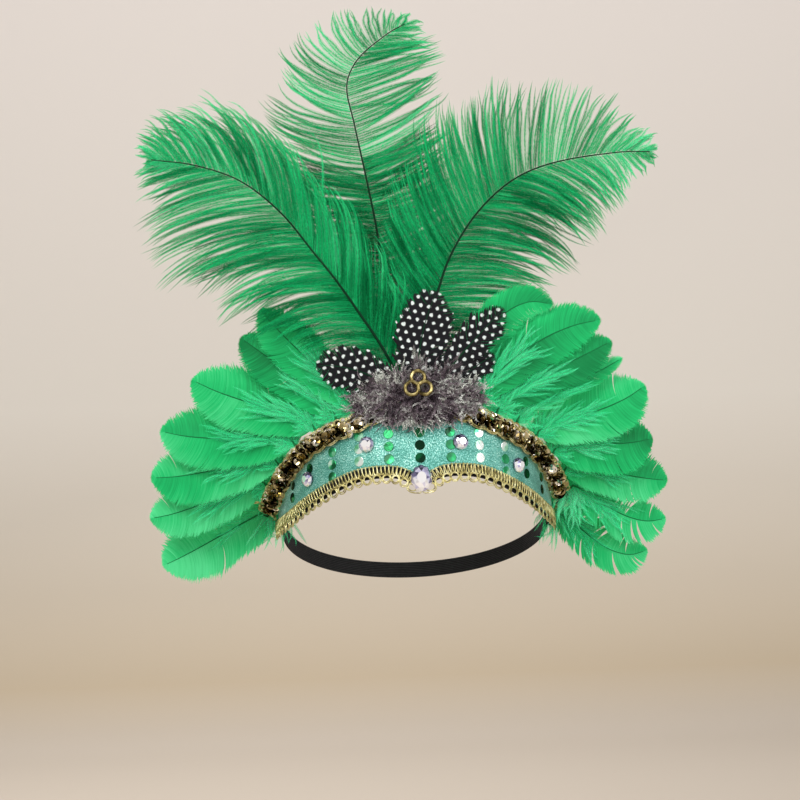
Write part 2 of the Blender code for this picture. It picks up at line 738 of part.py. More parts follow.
def build_trefoil(finish, parts, cutters):
    """Three touching rings of gold cord, fused, in front of the tuft."""
    middle = band_matrix(0.0, TREFOIL_HEIGHT, 2 * GAP + DOWN_THICK + DOWN_LIFT + TREFOIL_CORD)
    rings = []
    for k in range(3):
        bpy.ops.mesh.primitive_torus_add(
            major_radius=TREFOIL_RING * MM,
            minor_radius=TREFOIL_CORD * MM,
            major_segments=TREFOIL_SIDES,
            minor_segments=CORD_SIDES,
        )
        ring = bpy.context.object
        turn = Matrix.Rotation(math.radians(90 + 120 * k), 4, "Z")
        ring.matrix_world = middle @ turn @ Matrix.Translation((TREFOIL_SPREAD * MM, 0, 0))
        for home in list(ring.users_collection):
            home.objects.unlink(ring)
        rings.append(ring)
    first = rings[0]
    first.name = "braid_trefoil"
    first.data.materials.append(finish)
    parts.objects.link(first)
    for ring in rings[1:]:
        cutters.objects.link(ring)
        fuse(first, ring)


def main():
    """Build the headband from nothing."""
    for old in list(bpy.data.objects):
        bpy.data.objects.remove(old)
    parts = bpy.data.collections.new("feather_headband")
    cutters = bpy.data.collections.new("cutters")
    for collection in (parts, cutters):
        bpy.context.scene.collection.children.link(collection)

    cloth = material("sea_green_cloth", (0.10, 0.46, 0.36), 0.45)
    black = material("black_backing", (0.012, 0.012, 0.014), 0.85)
    elastic = material("black_elastic", (0.010, 0.010, 0.011), 0.8)
    gold = material("gold_braid", (0.66, 0.52, 0.20), 0.35, 0.9)
    sequin = material("antique_gold_sequins", (0.36, 0.27, 0.13), 0.25, 0.9)
    crystal = material("clear_stone", (0.75, 0.72, 0.85), 0.05, 0.3)
    plume_green = material("plume_green", (0.01, 0.33, 0.10), 0.7)
    fan_green = material("fan_green", (0.01, 0.48, 0.14), 0.6)
    spotted = material("spotted_black", (0.03, 0.03, 0.035), 0.6)
    grey = material("grey_down", (0.22, 0.19, 0.21), 0.9)

    build_fabric(cloth, parts, cutters)
    build_backing(black, parts)
    build_strap(elastic, parts)
    build_edge_braid(gold, parts)
    build_sequin_trim("sequin_trim_left", -1, sequin, parts)
    build_sequin_trim("sequin_trim_right", 1, sequin, parts)
    for stone in STONES:
        build_stone(stone, crystal, parts)
    for plume in PLUMES:
        build_plume(plume, plume_green, parts)
    for feather in FAN_FEATHERS:
        build_feather(feather, fan_green, parts)
    for feather in GUINEA_FEATHERS:
        build_feather(feather, spotted, parts)
    build_down(grey, parts)
    build_trefoil(gold, parts, cutters)
    bpy.context.view_layer.update()


main()
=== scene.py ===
"""Looks of the feather headband: cloth, gold trims, cut stones, fans of short feathers and three tall plumes.

Sizes are millimetres and angles are degrees, and MM turns millimetres into the frame's metres. A place on the
band is an angle round the head (0 at the forehead, positive towards +X), a height, and a distance out from
the cloth's outer face. A feather is a shaft with barbs on both sides, and a barb is a curved path whose
direction turns from one angle to another in the front view.
"""

from __future__ import annotations

import logging
import math
from dataclasses import dataclass
from enum import Enum
from typing import Callable, Sequence

import bpy
import numpy as np
from bpy.types import Material, Mesh, Node, NodeSocket, NodeTree, Object
from mathutils import Matrix, Vector

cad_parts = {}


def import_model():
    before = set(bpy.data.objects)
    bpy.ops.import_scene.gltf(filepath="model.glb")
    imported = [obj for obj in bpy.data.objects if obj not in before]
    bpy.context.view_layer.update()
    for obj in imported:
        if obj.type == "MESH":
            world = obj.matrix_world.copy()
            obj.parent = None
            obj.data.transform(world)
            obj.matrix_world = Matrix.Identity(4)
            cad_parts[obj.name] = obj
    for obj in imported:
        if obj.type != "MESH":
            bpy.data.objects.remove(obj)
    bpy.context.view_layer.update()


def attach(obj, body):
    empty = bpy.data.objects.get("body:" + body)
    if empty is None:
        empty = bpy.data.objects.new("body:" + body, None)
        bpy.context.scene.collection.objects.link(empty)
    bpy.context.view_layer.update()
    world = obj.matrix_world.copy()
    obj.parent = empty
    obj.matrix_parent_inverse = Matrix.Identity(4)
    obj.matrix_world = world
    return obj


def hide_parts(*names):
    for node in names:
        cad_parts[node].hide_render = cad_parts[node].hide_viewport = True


MM = 0.001
LOG = logging.getLogger("feather_headband")

Array = np.ndarray
Values = Array | float
Draws = np.random.Generator
Colour = tuple[float, float, float]
Point = tuple[float, float, float]
Stops = tuple[tuple[float, Colour], ...]


class Table:
    """Smooth curve through a short table of places and values."""

    def __init__(self, places: Sequence[float], values: Sequence) -> None:
        """Keep the rows and work out the slope at each of them.

        Args:
            places: Where each row stands, rising.
            values: One number or one row of numbers for each place.
        """
        self.places = np.array(places, float)
        self.values = np.array(values, float)
        before = np.maximum(np.arange(len(self.places)) - 1, 0)
        after = np.minimum(np.arange(len(self.places)) + 1, len(self.places) - 1)
        gaps = (self.places[after] - self.places[before]).reshape((-1,) + (1,) * (self.values.ndim - 1))
        self.slopes = (self.values[after] - self.values[before]) / gaps

    @property
    def last(self) -> float:
        """The last place."""
        return float(self.places[-1])

    def at(self, where: Values) -> Array:
        """Read the curve.

        Args:
            where: Places to read, of any shape.

        Returns:
            The values there, with a row's own shape added at the end.
        """
        where = np.clip(np.asarray(where, float), self.places[0], self.places[-1])
        row = np.clip(np.searchsorted(self.places, where, side="right") - 1, 0, len(self.places) - 2)
        span = self.places[row + 1] - self.places[row]
        t = (where - self.places[row]) / span
        if self.values.ndim > 1:
            span, t = span[..., None], t[..., None]
        return (
            (2 * t**3 - 3 * t**2 + 1) * self.values[row]
            + (t**3 - 2 * t**2 + t) * span * self.slopes[row]
            + (3 * t**2 - 2 * t**3) * self.values[row + 1]
            + (t**3 - t**2) * span * self.slopes[row + 1]
        )


def directions(angle: Array) -> Array:
    """Unit vectors in the front view."""
    turn = np.radians(angle)
    return np.stack([np.cos(turn), np.zeros_like(turn), np.sin(turn)], axis=-1)


def unit(vectors: Array) -> Array:
    """Scale vectors to length one."""
    return vectors / np.maximum(np.linalg.norm(vectors, axis=-1, keepdims=True), 1e-9)


def distances(lines: Array) -> Array:
    """Distance of each point along its line, from the line's start."""
    steps = np.linalg.norm(np.diff(lines, axis=-2), axis=-1)
    return np.concatenate([np.zeros(lines.shape[:-2] + (1,)), np.cumsum(steps, axis=-1)], axis=-1)


@dataclass(frozen=True)
class Band:
    """The stiff band's outer face, an ellipse in plan that leans in as it rises."""

    half_width: float = 84.0
    half_depth: float = 97.0
    side_lean: float = 0.05
    front_lean: float = 0.20
    end: float = 88.0
    peak_drop: float = 9.5
    peak_width: float = 9.0
    peak_power: float = 1.3
    top_margin: float = 2.0
    gap: float = 0.3
    trim_width: float = 13.0
    trim_foot: float = 5.0
    trim_lean: float = 56.0
    trim_lean_start: float = 26.0
    trim_lean_end: float = 74.0
    sections: tuple[tuple[float, float, float], ...] = (
        (0, 14.5, 56.0), (13, 13.8, 48.0), (26, 11.3, 40.0), (37, 5.5, 34.0), (46, -0.3, 28.5),
        (55, -6.5, 20.5), (64, -12.8, 11.0), (73, -17.2, 1.0), (82, -20.5, -7.5), (88, -22.0, -12.4),
    )

    def edge(self, which: int, angle: Values) -> Array:
        """Height of one of the band's two lines."""
        rows = np.array(self.sections)
        return Table(rows[:, 0], rows[:, which]).at(np.abs(angle))

    def braid_height(self, angle: Values) -> Array:
        """Height of the lower braid's middle, with its dip over the forehead."""
        across = self.half_width * np.sin(np.radians(np.abs(angle)))
        return self.edge(1, angle) - self.peak_drop * np.exp(-((across / self.peak_width) ** self.peak_power))

    def trim_height(self, angle: Values) -> Array:
        """Height of the sequin trim's middle at angles round the head."""
        return self.edge(2, angle)

    def point(self, angle: Array, height: Array, out: Values) -> Array:
        """Points at a distance out from the cloth.

        Args:
            angle: Angles round the head.
            height: Heights.
            out: Distances out from the face.

        Returns:
            Points in millimetres.
        """
        angle, height, out = np.broadcast_arrays(np.asarray(angle, float), height, out)
        turn = np.radians(angle)
        wide = self.half_width - self.side_lean * height
        deep = self.half_depth - self.front_lean * height
        way = unit(np.stack([np.sin(turn) / wide, -np.cos(turn) / deep], axis=-1))
        x = wide * np.sin(turn) + way[..., 0] * out
        y = -deep * np.cos(turn) + way[..., 1] * out
        return np.stack([x, y, height], axis=-1)

    def braid_point(self, angle: Array, up: Array, out: Array) -> Array:
        """Points beside the lower braid's middle line, by height over it and distance out."""
        return self.point(angle, self.braid_height(angle) + up, out)

    def trim_point(self, angle: Array, rise: Values, lift: Values) -> Array:
        """Points of the sequin trim, which leans out from its lower edge towards the band's ends.

        Args:
            angle: Angles round the head.
            rise: Distances up from the trim's lower edge.
            lift: Distances out from its back.

        Returns:
            Points in millimetres.
        """
        span = self.trim_lean_end - self.trim_lean_start
        share = np.clip((np.abs(angle) - self.trim_lean_start) / span, 0.0, 1.0)
        lean = np.radians(self.trim_lean * share**2 * (3 - 2 * share))
        height = self.trim_height(angle) - self.trim_foot + rise * np.cos(lean) - lift * np.sin(lean)
        return self.point(angle, height, self.gap + rise * np.sin(lean) + lift * np.cos(lean))

    def frame(self, angle: float, height: float, out: float) -> Matrix:
        """Placement on the leaning cloth, in millimetres.

        Args:
            angle: Angle round the head.
            height: Height.
            out: Distance out along the cloth's own normal.

        Returns:
            A matrix whose Z points out of the cloth and whose Y points up it.
        """
        along = Vector(self.point(angle + 1, height, 0) - self.point(angle - 1, height, 0))
        up = Vector(self.point(angle, height + 1, 0) - self.point(angle, height, 0)).normalized()
        outward = along.cross(up).normalized()
        turn = Matrix((up.cross(outward), up, outward)).transposed()
        return Matrix.Translation(Vector(self.point(angle, height, 0)) + outward * out) @ turn.to_4x4()

    def frames(self, angle: Array, height: Array) -> tuple[Array, Array, Array]:
        """Axes on the cloth at many places.

        Args:
            angle: Angles round the head.
            height: Heights.

        Returns:
            Unit vectors along the band, up the cloth and out of it.
        """
        along = self.point(angle + 0.5, height, 0) - self.point(angle - 0.5, height, 0)
        up = unit(self.point(angle, height + 1, 0) - self.point(angle, height, 0))
        outward = unit(np.cross(along, up))
        return np.cross(up, outward), up, outward


class Layer(Enum):
    """Which of a feather's finishes a face takes."""

    VANE = 0
    SHAFT = 1
    DOWN = 2
    HAZE = 3


class MeshPile:
    """Points and faces of many small things on the band, joined into one mesh, and their random draws."""

    def __init__(self, band: Band, seed: int) -> None:
        """Start with nothing in the pile.

        Args:
            band: The band that carries the piece.
            seed: Number that makes the piece's random draws its own.
        """
        self.band = band
        self.rng = np.random.default_rng(seed)
        self.points: list[Array] = []
        self.faces: list[list] = []
        self.uvs: list[Array] = []
        self.shades: dict[str, list[Array]] = {"tint": [], "soft": []}
        self.layers: list[int] = []
        self.count = 0

    def add(
        self, points: Array, faces: Array, uv: Array | None = None, tint: Values = 0.5,
        layer: Layer = Layer.VANE, soft: Values = 0.0,
    ) -> None:
        """Put more faces in the pile.

        Args:
            points: Points in millimetres, of shape (..., 3).
            faces: Corner numbers into the points, three or four to a face.
            uv: A pair of numbers for each point.
            tint: Shade from 0 to 1 for each point.
            layer: Which finish the faces take.
            soft: How far each point fades into separate hairs, from 0 to 1.
        """
        points = points.reshape(-1, 3)
        total = len(points)
        self.points.append(points)
        self.faces.append((faces + self.count).tolist())
        self.uvs.append(np.zeros((total, 2)) if uv is None else np.asarray(uv, float).reshape(total, 2))
        for name, values in (("tint", tint), ("soft", soft)):
            values = np.full(total, values) if np.ndim(values) == 0 else np.reshape(values, total)
            self.shades[name].append(values)
        self.layers.append(layer.value)
        self.count += total

    def build(self, name: str, finishes: Sequence[Material], smooth: bool) -> Object:
        """Make the pile one object.

        Args:
            name: Name of the piece.
            finishes: Its materials, in the order of the layers.
            smooth: Whether its faces are shaded smooth.

        Returns:
            The new object.
        """
        mesh = bpy.data.meshes.new(name)
        faces = [face for group in self.faces for face in group]
        mesh.from_pydata((np.concatenate(self.points) * MM).tolist(), [], faces)
        used = sorted(set(self.layers))
        for number in used:
            mesh.materials.append(finishes[number])
        numbers = np.repeat(np.searchsorted(used, self.layers), [len(group) for group in self.faces])
        mesh.polygons.foreach_set("material_index", numbers.astype(np.int32))
        mesh.polygons.foreach_set("use_smooth", np.full(len(faces), smooth))
        corners = np.zeros(len(mesh.loops), np.int32)
        mesh.loops.foreach_get("vertex_index", corners)
        layer = mesh.uv_layers.new(name="UVMap")
        layer.data.foreach_set("uv", np.concatenate(self.uvs)[corners].astype(np.float32).ravel())
        for label, values in self.shades.items():
            shade = mesh.attributes.new(label, "FLOAT", "POINT")
            shade.data.foreach_set("value", np.concatenate(values).astype(np.float32))
        mesh.update()
        made = bpy.data.objects.new(name, mesh)
        bpy.context.scene.collection.objects.link(made)
        return made


class PiledPiece:
    """A piece made of many small things, whose subclass says what goes in its pile."""

    name: str
    seed: int
    smooth: bool = True

    def fill(self, pile: MeshPile) -> None:
        """Put everything in the piece's pile."""
        raise NotImplementedError

    def build(self, band: Band, finishes: Sequence[Material]) -> Object:
        """Make the piece.

        Args:
            band: The band that carries it.
            finishes: Its materials, in the order of the layers.

        Returns:
            The piece's object.
        """
        pile = MeshPile(band, self.seed)
        self.fill(pile)
        return pile.build(self.name, finishes, self.smooth)


def grid_faces(count: int, long: int, wide: int, closed: bool = False) -> Array:
    """Faces of many equal grids of points.

    Args:
        count: How many grids.
        long: Points along each.
        wide: Points across each.
        closed: Whether the last point across meets the first.

    Returns:
        Corner numbers, four to a face, for points of shape (count, long, wide, 3).
    """
    across = wide if closed else wide - 1
    k, i, j = np.meshgrid(np.arange(count), np.arange(long - 1), np.arange(across), indexing="ij")
    after = (j + 1) % wide
    first = (k * long + i) * wide
    corners = [first + j, first + after, first + wide + after, first + wide + j]
    return np.stack(corners, axis=-1).reshape(-1, 4)


def add_tubes(
    pile: MeshPile, paths: Array, radius: Values, sides: int, tint: Values = 0.5,
    layer: Layer = Layer.VANE, up: Point = (0, 0, 1),
) -> None:
    """Put tubes in a pile, with the length in millimetres along their UV's second number.

    Args:
        pile: Where the tubes go.
        paths: Middle lines, of shape (count, long, 3).
        radius: Radius, for all or for each point.
        sides: Points round the tube.
        tint: Shade, for all or for each path.
        layer: Which finish the tubes take.
        up: A direction that the paths don't run in.
    """
    way = unit(np.gradient(paths, axis=1))
    side = unit(np.cross(way, np.array(up, float)))
    over = np.cross(side, way)
    turn = np.arange(sides) * 2 * math.pi / sides
    ring = side[..., None, :] * np.cos(turn)[:, None] + over[..., None, :] * np.sin(turn)[:, None]
    radius = np.broadcast_to(np.asarray(radius, float), paths.shape[:2])
    points = paths[..., None, :] + ring * radius[..., None, None]
    shape = points.shape[:3]
    u = np.broadcast_to(np.arange(sides) / sides, shape)
    v = np.broadcast_to(distances(paths)[..., None], shape)
    tints = np.broadcast_to(np.reshape(tint, (-1, 1, 1)), shape)
    pile.add(points, grid_faces(*shape, closed=True), np.stack([u, v], -1), tints, layer)


@dataclass
class Strands:
    """Many curved strands, as equal numbers of points along each."""

    paths: Array
    tint: Array
    tip_light: float = 0.0

    @classmethod
    def turning(
        cls, start: Array, begin: Array, end: Array, hook: Values, length: Array, tint: Array, steps: int = 22
    ) -> Strands:
        """Strands that turn from one direction to another in the front view.

        Args:
            start: Where each strand starts.
            begin: Direction there.
            end: Direction at the tip, before the hook.
            hook: Further turn that comes in near the tip.
            length: Length of each.
            tint: Shade of each.
            steps: How many steps each path has.

        Returns:
            The strands.
        """
        share = (np.arange(steps) + 0.5) / steps
        angle = begin[:, None] + (end - begin)[:, None] * share
        angle = angle + np.broadcast_to(hook, begin.shape)[:, None] * share**4
        moves = directions(angle) * (length / steps)[:, None, None]
        paths = np.concatenate([start[:, None], start[:, None] + np.cumsum(moves, axis=1)], axis=1)
        return cls(paths, tint)

    @property
    def share(self) -> Array:
        """Share of the length at each point."""
        return np.linspace(0.0, 1.0, self.paths.shape[1])

    def push(self, way: Point, amount: Array, power: float = 1.5) -> None:
        """Bend each strand one way, more towards its tip."""
        self.paths += amount[:, None, None] * (self.share**power)[:, None] * np.array(way, float)

    def wave(self, rng: Draws, size: float, cycles: float) -> None:
        """Give the strands soft random waves.

        Args:
            rng: Source of the random draws.
            size: Size of the waves at the tips.
            cycles: How many waves a strand has, about.
        """
        for axis in range(3):
            phase = rng.uniform(0, 2 * math.pi, len(self.paths))
            speed = rng.uniform(0.5, 1.5, len(self.paths)) * cycles * 2 * math.pi
            swing = np.sin(self.share * speed[:, None] + phase[:, None]) - np.sin(phase)[:, None]
            self.paths[..., axis] += size * swing * self.share

    def gather(
        self, rng: Draws, sizes: tuple[int, int], strength: float, spread: float, late: float
    ) -> None:
        """Draw neighbours together into locks.

        Args:
            rng: Source of the random draws.
            sizes: Least and most strands in a lock.
            strength: How far the tips close up, from 0 to 1.
            spread: How far apart the tips of a lock stay.
            late: How late along the strands they close up.
        """
        counts = []
        while sum(counts) < len(self.paths):
            counts.append(int(rng.integers(sizes[0], sizes[1] + 1)))
        lock = np.repeat(np.arange(len(counts)), counts)[: len(self.paths)]
        total = np.zeros((len(counts),) + self.paths.shape[1:])
        np.add.at(total, lock, self.paths)
        middle = total / np.maximum(np.bincount(lock, minlength=len(counts)), 1)[:, None, None]
        weaker = rng.uniform(0.55, 1.0, len(counts))[lock][:, None, None]
        close = strength * weaker * (self.share**late)[:, None]
        apart = rng.normal(0, spread, (len(self.paths), 1, 3)) * self.share[:, None]
        self.paths += (middle[lock] - self.paths) * close + apart

    def read(self, share: Array) -> Array:
        """Points at shares of the strands' length.

        Args:
            share: Shares, of shape (count, places).

        Returns:
            Points of shape (count, places, 3).
        """
        last = self.paths.shape[1] - 1
        place = np.clip(share * last, 0, last - 1e-6)
        row = place.astype(int)
        part = (place - row)[..., None]
        lines = np.arange(len(self.paths))[:, None]
        return self.paths[lines, row] * (1 - part) + self.paths[lines, row + 1] * part

    def lengths(self) -> Array:
        """Length of each strand."""
        return np.linalg.norm(np.diff(self.paths, axis=1), axis=-1).sum(axis=1)

    def part(self, chosen: Array) -> Strands:
        """Some of the strands, by number."""
        return Strands(self.paths[chosen], self.tint[chosen], self.tip_light)


@dataclass(frozen=True)
class Fluff:
    """How the fine barbules stand along a strand."""

    spacing: float
    reach: float
    sweep: float = 42.0
    roll: float = 45.0
    stem: float = 0.14
    stem_steps: int = 11
    stem_shade: float = 0.8
    haze: float = 0.0
    haze_behind: float = 0.3
    batches: int = 6
    root_share: float = 0.45
    front: Point = (0.0, -1.0, 0.0)

    def add(self, pile: MeshPile, strands: Strands, layer: Layer) -> None:
        """Dress strands with a stem, two rows of barbules and a thin veil for the finest ones.

        Args:
            pile: Where they go.
            strands: The strands.
            layer: Which finish they take.
        """
        for chosen in np.array_split(np.argsort(strands.lengths(), kind="stable"), self.batches):
            if len(chosen):
                self.add_batch(pile, strands.part(chosen), layer)
        count, long = len(strands.paths), self.stem_steps + 1
        places = np.broadcast_to(np.linspace(0, 1, long), (count, long))
        paths = strands.read(places)
        if self.stem:
            radius = self.stem * (1.05 - places)
            add_tubes(pile, paths, radius, 3, strands.tint * self.stem_shade, layer, up=self.front)
        if self.haze:
            side = unit(np.cross(unit(np.gradient(paths, axis=1)), np.array(self.front)))
            half = side * (self.haze * (1 - places**3))[..., None]
            behind = paths - np.array(self.front) * self.haze_behind
            ribbon = np.stack([behind - half, behind + half], axis=2)
            tint = np.broadcast_to(strands.tint[:, None, None], (count, long, 2))
            pile.add(ribbon, grid_faces(count, long, 2), None, tint, Layer.HAZE)

    def add_batch(self, pile: MeshPile, strands: Strands, layer: Layer) -> None:
        """Barbules of strands of about one length.

        Args:
            pile: Where they go.
            strands: The strands.
            layer: Which finish they take.
        """
        rng = pile.rng
        count = len(strands.paths)
        teeth = max(int(round(strands.lengths().mean() / self.spacing)), 4)
        share = np.broadcast_to(np.linspace(0, 1, teeth + 1), (count, teeth + 1))
        stem = strands.read(share)
        way = unit(np.gradient(stem, axis=1))[:, :-1]
        side = unit(np.cross(way, np.array(self.front)))
        over = np.cross(side, way)
        t = share[:, :-1]
        profile = (self.root_share + (1 - self.root_share) * np.sin(math.pi * t**0.7)) * (1 - t**5)
        points = [stem]
        for sign in (1, -1):
            roll = np.radians(rng.normal(0, self.roll, t.shape))[..., None]
            sweep = np.radians(self.sweep + rng.normal(0, 7, t.shape))[..., None]
            reach = self.reach * profile * rng.uniform(0.75, 1.2, t.shape)
            out = side * np.cos(roll) * sign + over * np.sin(roll)
            points.append(stem[:, :-1] + (way * np.cos(sweep) + out * np.sin(sweep)) * reach[..., None])
        whole = np.concatenate(points, axis=1)
        width = whole.shape[1]
        i = np.arange(teeth)
        one = np.stack([i, i + 1, teeth + 1 + i], axis=-1)
        two = np.stack([i + 1, i, 2 * teeth + 1 + i], axis=-1)
        faces = (np.concatenate([one, two])[None] + (np.arange(count) * width)[:, None, None]).reshape(-1, 3)
        across = np.concatenate([np.zeros(teeth + 1), np.ones(teeth), -np.ones(teeth)])
        along = np.concatenate([share[0], share[0, :-1], share[0, :-1]])
        uv = np.broadcast_to(np.stack([across, along], axis=-1), (count, width, 2))
        tint = strands.tint[:, None] * (0.7 + 0.3 * np.abs(across)) + strands.tip_light * along**2
        pile.add(whole, faces, uv, tint, layer)


class Shaft:
    """Smooth line of a feather's shaft, read by share of its length."""

    def __init__(self, points: Sequence[Sequence[float]]) -> None:
        """Keep the line through some points.

        Args:
            points: Points in millimetres, from the foot to the tip.
        """
        line = np.array([tuple(p) for p in points], float)
        places = distances(line)
        self.length = float(places[-1])
        self.table = Table(places / self.length, line)

    def at(self, share: Values) -> Array:
        """Points at shares of the length."""
        return self.table.at(share)

    def across(self, share: Values) -> Array:
        """Unit vectors to the left of the shaft in the front view, at shares of the length."""
        way = self.at(np.minimum(share + 0.01, 1)) - self.at(np.maximum(share - 0.01, 0))
        return unit(np.stack([-way[..., 2], np.zeros_like(way[..., 0]), way[..., 0]], axis=-1))

    def angle(self, share: Values) -> Array:
        """Direction of the shaft in the front view, in degrees."""
        left = self.across(share)
        return np.degrees(np.arctan2(-left[..., 0], left[..., 2]))

    def add(
        self, pile: MeshPile, foot: float, tip: float, sides: int = 8, steps: int = 90, until: float = 1.0
    ) -> None:
        """Put the shaft in a pile as a tapered tube.

        Args:
            pile: Where it goes.
            foot: Radius at the foot.
            tip: Radius at the tip.
            sides: Points round it.
            steps: How many steps it has.
            until: Share of the length at which it stops.
        """
        share = np.linspace(0, until, steps + 1)
        radius = foot + (tip - foot) * share**0.8
        add_tubes(pile, self.at(share)[None], radius[None], sides, 0.5, Layer.SHAFT, up=(0, 1, 0))


@dataclass(frozen=True)
class BarbLayer:
    """One layer of barbs on one side of a plume."""

    left: bool
    count: int
    reach: float = 1.0
    behind: float = 0.0
    tip_light: float = 0.1
    # The layers behind take a lower tint than the front ones: painted shade under the front layers.
    tint: float = 0.5
    until: float = 1.0
    loose: float = 0.0


@dataclass(frozen=True)
class Plume(PiledPiece):
    """Tall ostrich plume: a thin dark shaft with long soft barbs that hang in locks.

    A row of a side gives a place along the vane, the barbs' direction at the root and at the tip, their
    length and how far they curl back.
    """

    name: str
    angle: float
    shaft: tuple[Point, ...]
    vane_start: float
    left: tuple[tuple[float, ...], ...]
    right: tuple[tuple[float, ...], ...]
    hook_left: float
    hook_right: float
    seed: int
    layers: tuple[BarbLayer, ...]
    band_out: float = -4.6
    seats: tuple[float, ...] = (34.0, 47.0, 59.0)
    shaft_foot: float = 1.1
    shaft_tip: float = 0.28
    lock_starts: float = 0.26
    lock_turn: float = 5.2
    lock_length: float = 0.09
    lock_depth: float = 4.0
    stray_share: float = 0.07
    stray_turn: float = 15.0
    root_painted_shade: float = 0.24
    fluff: Fluff = Fluff(0.54, 1.6, sweep=36.0, roll=34.0, stem=0.15, stem_steps=9, haze=1.5, root_share=0.75)

    def line(self, band: Band) -> Shaft:
        """Shaft of the plume, from behind the band's face to its tip."""
        seats = [band.point(self.angle, height, self.band_out) for height in self.seats]
        return Shaft([*seats, *self.shaft])

    def barbs(self, shaft: Shaft, layer: BarbLayer, rng: Draws) -> Strands:
        """Barbs of one layer.

        Args:
            shaft: The plume's shaft.
            layer: Which side they stand on, and how many.
            rng: Source of the random draws.

        Returns:
            The barbs as strands.
        """
        rows = self.left if layer.left else self.right
        hook = self.hook_left if layer.left else self.hook_right
        count = layer.count
        station = np.clip(np.linspace(0, 1, count) + rng.normal(0, 0.3, count) / count, 0, 1) * layer.until
        begin, end, length, curl = Table([row[0] for row in rows], [row[1:] for row in rows]).at(station).T
        share = self.vane_start + (1 - self.vane_start) * station
        start = shaft.at(share) + shaft.across(share) * (0.4 if layer.left else -0.4)
        lock = np.cumsum(rng.random(count) < self.lock_starts)
        locks = lock[-1] + 1
        turn = rng.normal(0, self.lock_turn, locks)[lock]
        longer = 1 + rng.normal(0, self.lock_length, locks)[lock] + rng.normal(0, 0.045, count)
        stray = (rng.random(count) < self.stray_share) * rng.normal(0, self.stray_turn, count)
        begin = begin + turn * 0.3 + rng.normal(0, 1.2 + layer.loose / 2, count) + stray * 0.3
        end = end + turn + rng.normal(0, 2.5 + layer.loose, count) + stray
        # Barbs near the root are painted darker: painted shade where the dense barbs overlap.
        tint = layer.tint - self.root_painted_shade * (1 - station) ** 2.2
        tint = tint + 0.13 * rng.normal(0, 1, locks)[lock] + rng.normal(0, 0.09, count)
        reach = length * layer.reach * np.clip(longer, 0.72, 1.2)
        strands = Strands.turning(start, begin, end, hook, reach, np.clip(tint, 0.03, 1))
        strands.tip_light = layer.tip_light
        depth = curl + layer.behind + rng.normal(0, self.lock_depth, locks)[lock]
        strands.push((0, 1, 0), depth, 1.6)
        strands.gather(rng, (2, 6), 0.9, 0.9, 2.2)
        strands.wave(rng, 0.8, 1.4)
        return strands

    def fill(self, pile: MeshPile) -> None:
        """Put the barbs, layer by layer, and the shaft in the plume's pile.

        Args:
            pile: The pile.
        """
        shaft = self.line(pile.band)
        for layer in self.layers:
            self.fluff.add(pile, self.barbs(shaft, layer, pile.rng), Layer.VANE)
        shaft.add(pile, self.shaft_foot, self.shaft_tip)


# A barb's half width and how far ahead its tip stands, by the place of its root along the vane.
VANE_OUTLINE = Table(
    (0.00, 0.17, 0.36, 0.55, 0.74, 0.87, 0.96, 1.00),
    (
        (0.50, 0.07), (0.82, 0.29), (0.93, 0.50), (1.00, 0.69),
        (0.86, 0.85), (0.55, 0.955), (0.24, 1.0), (0.02, 1.015),
    ),
)


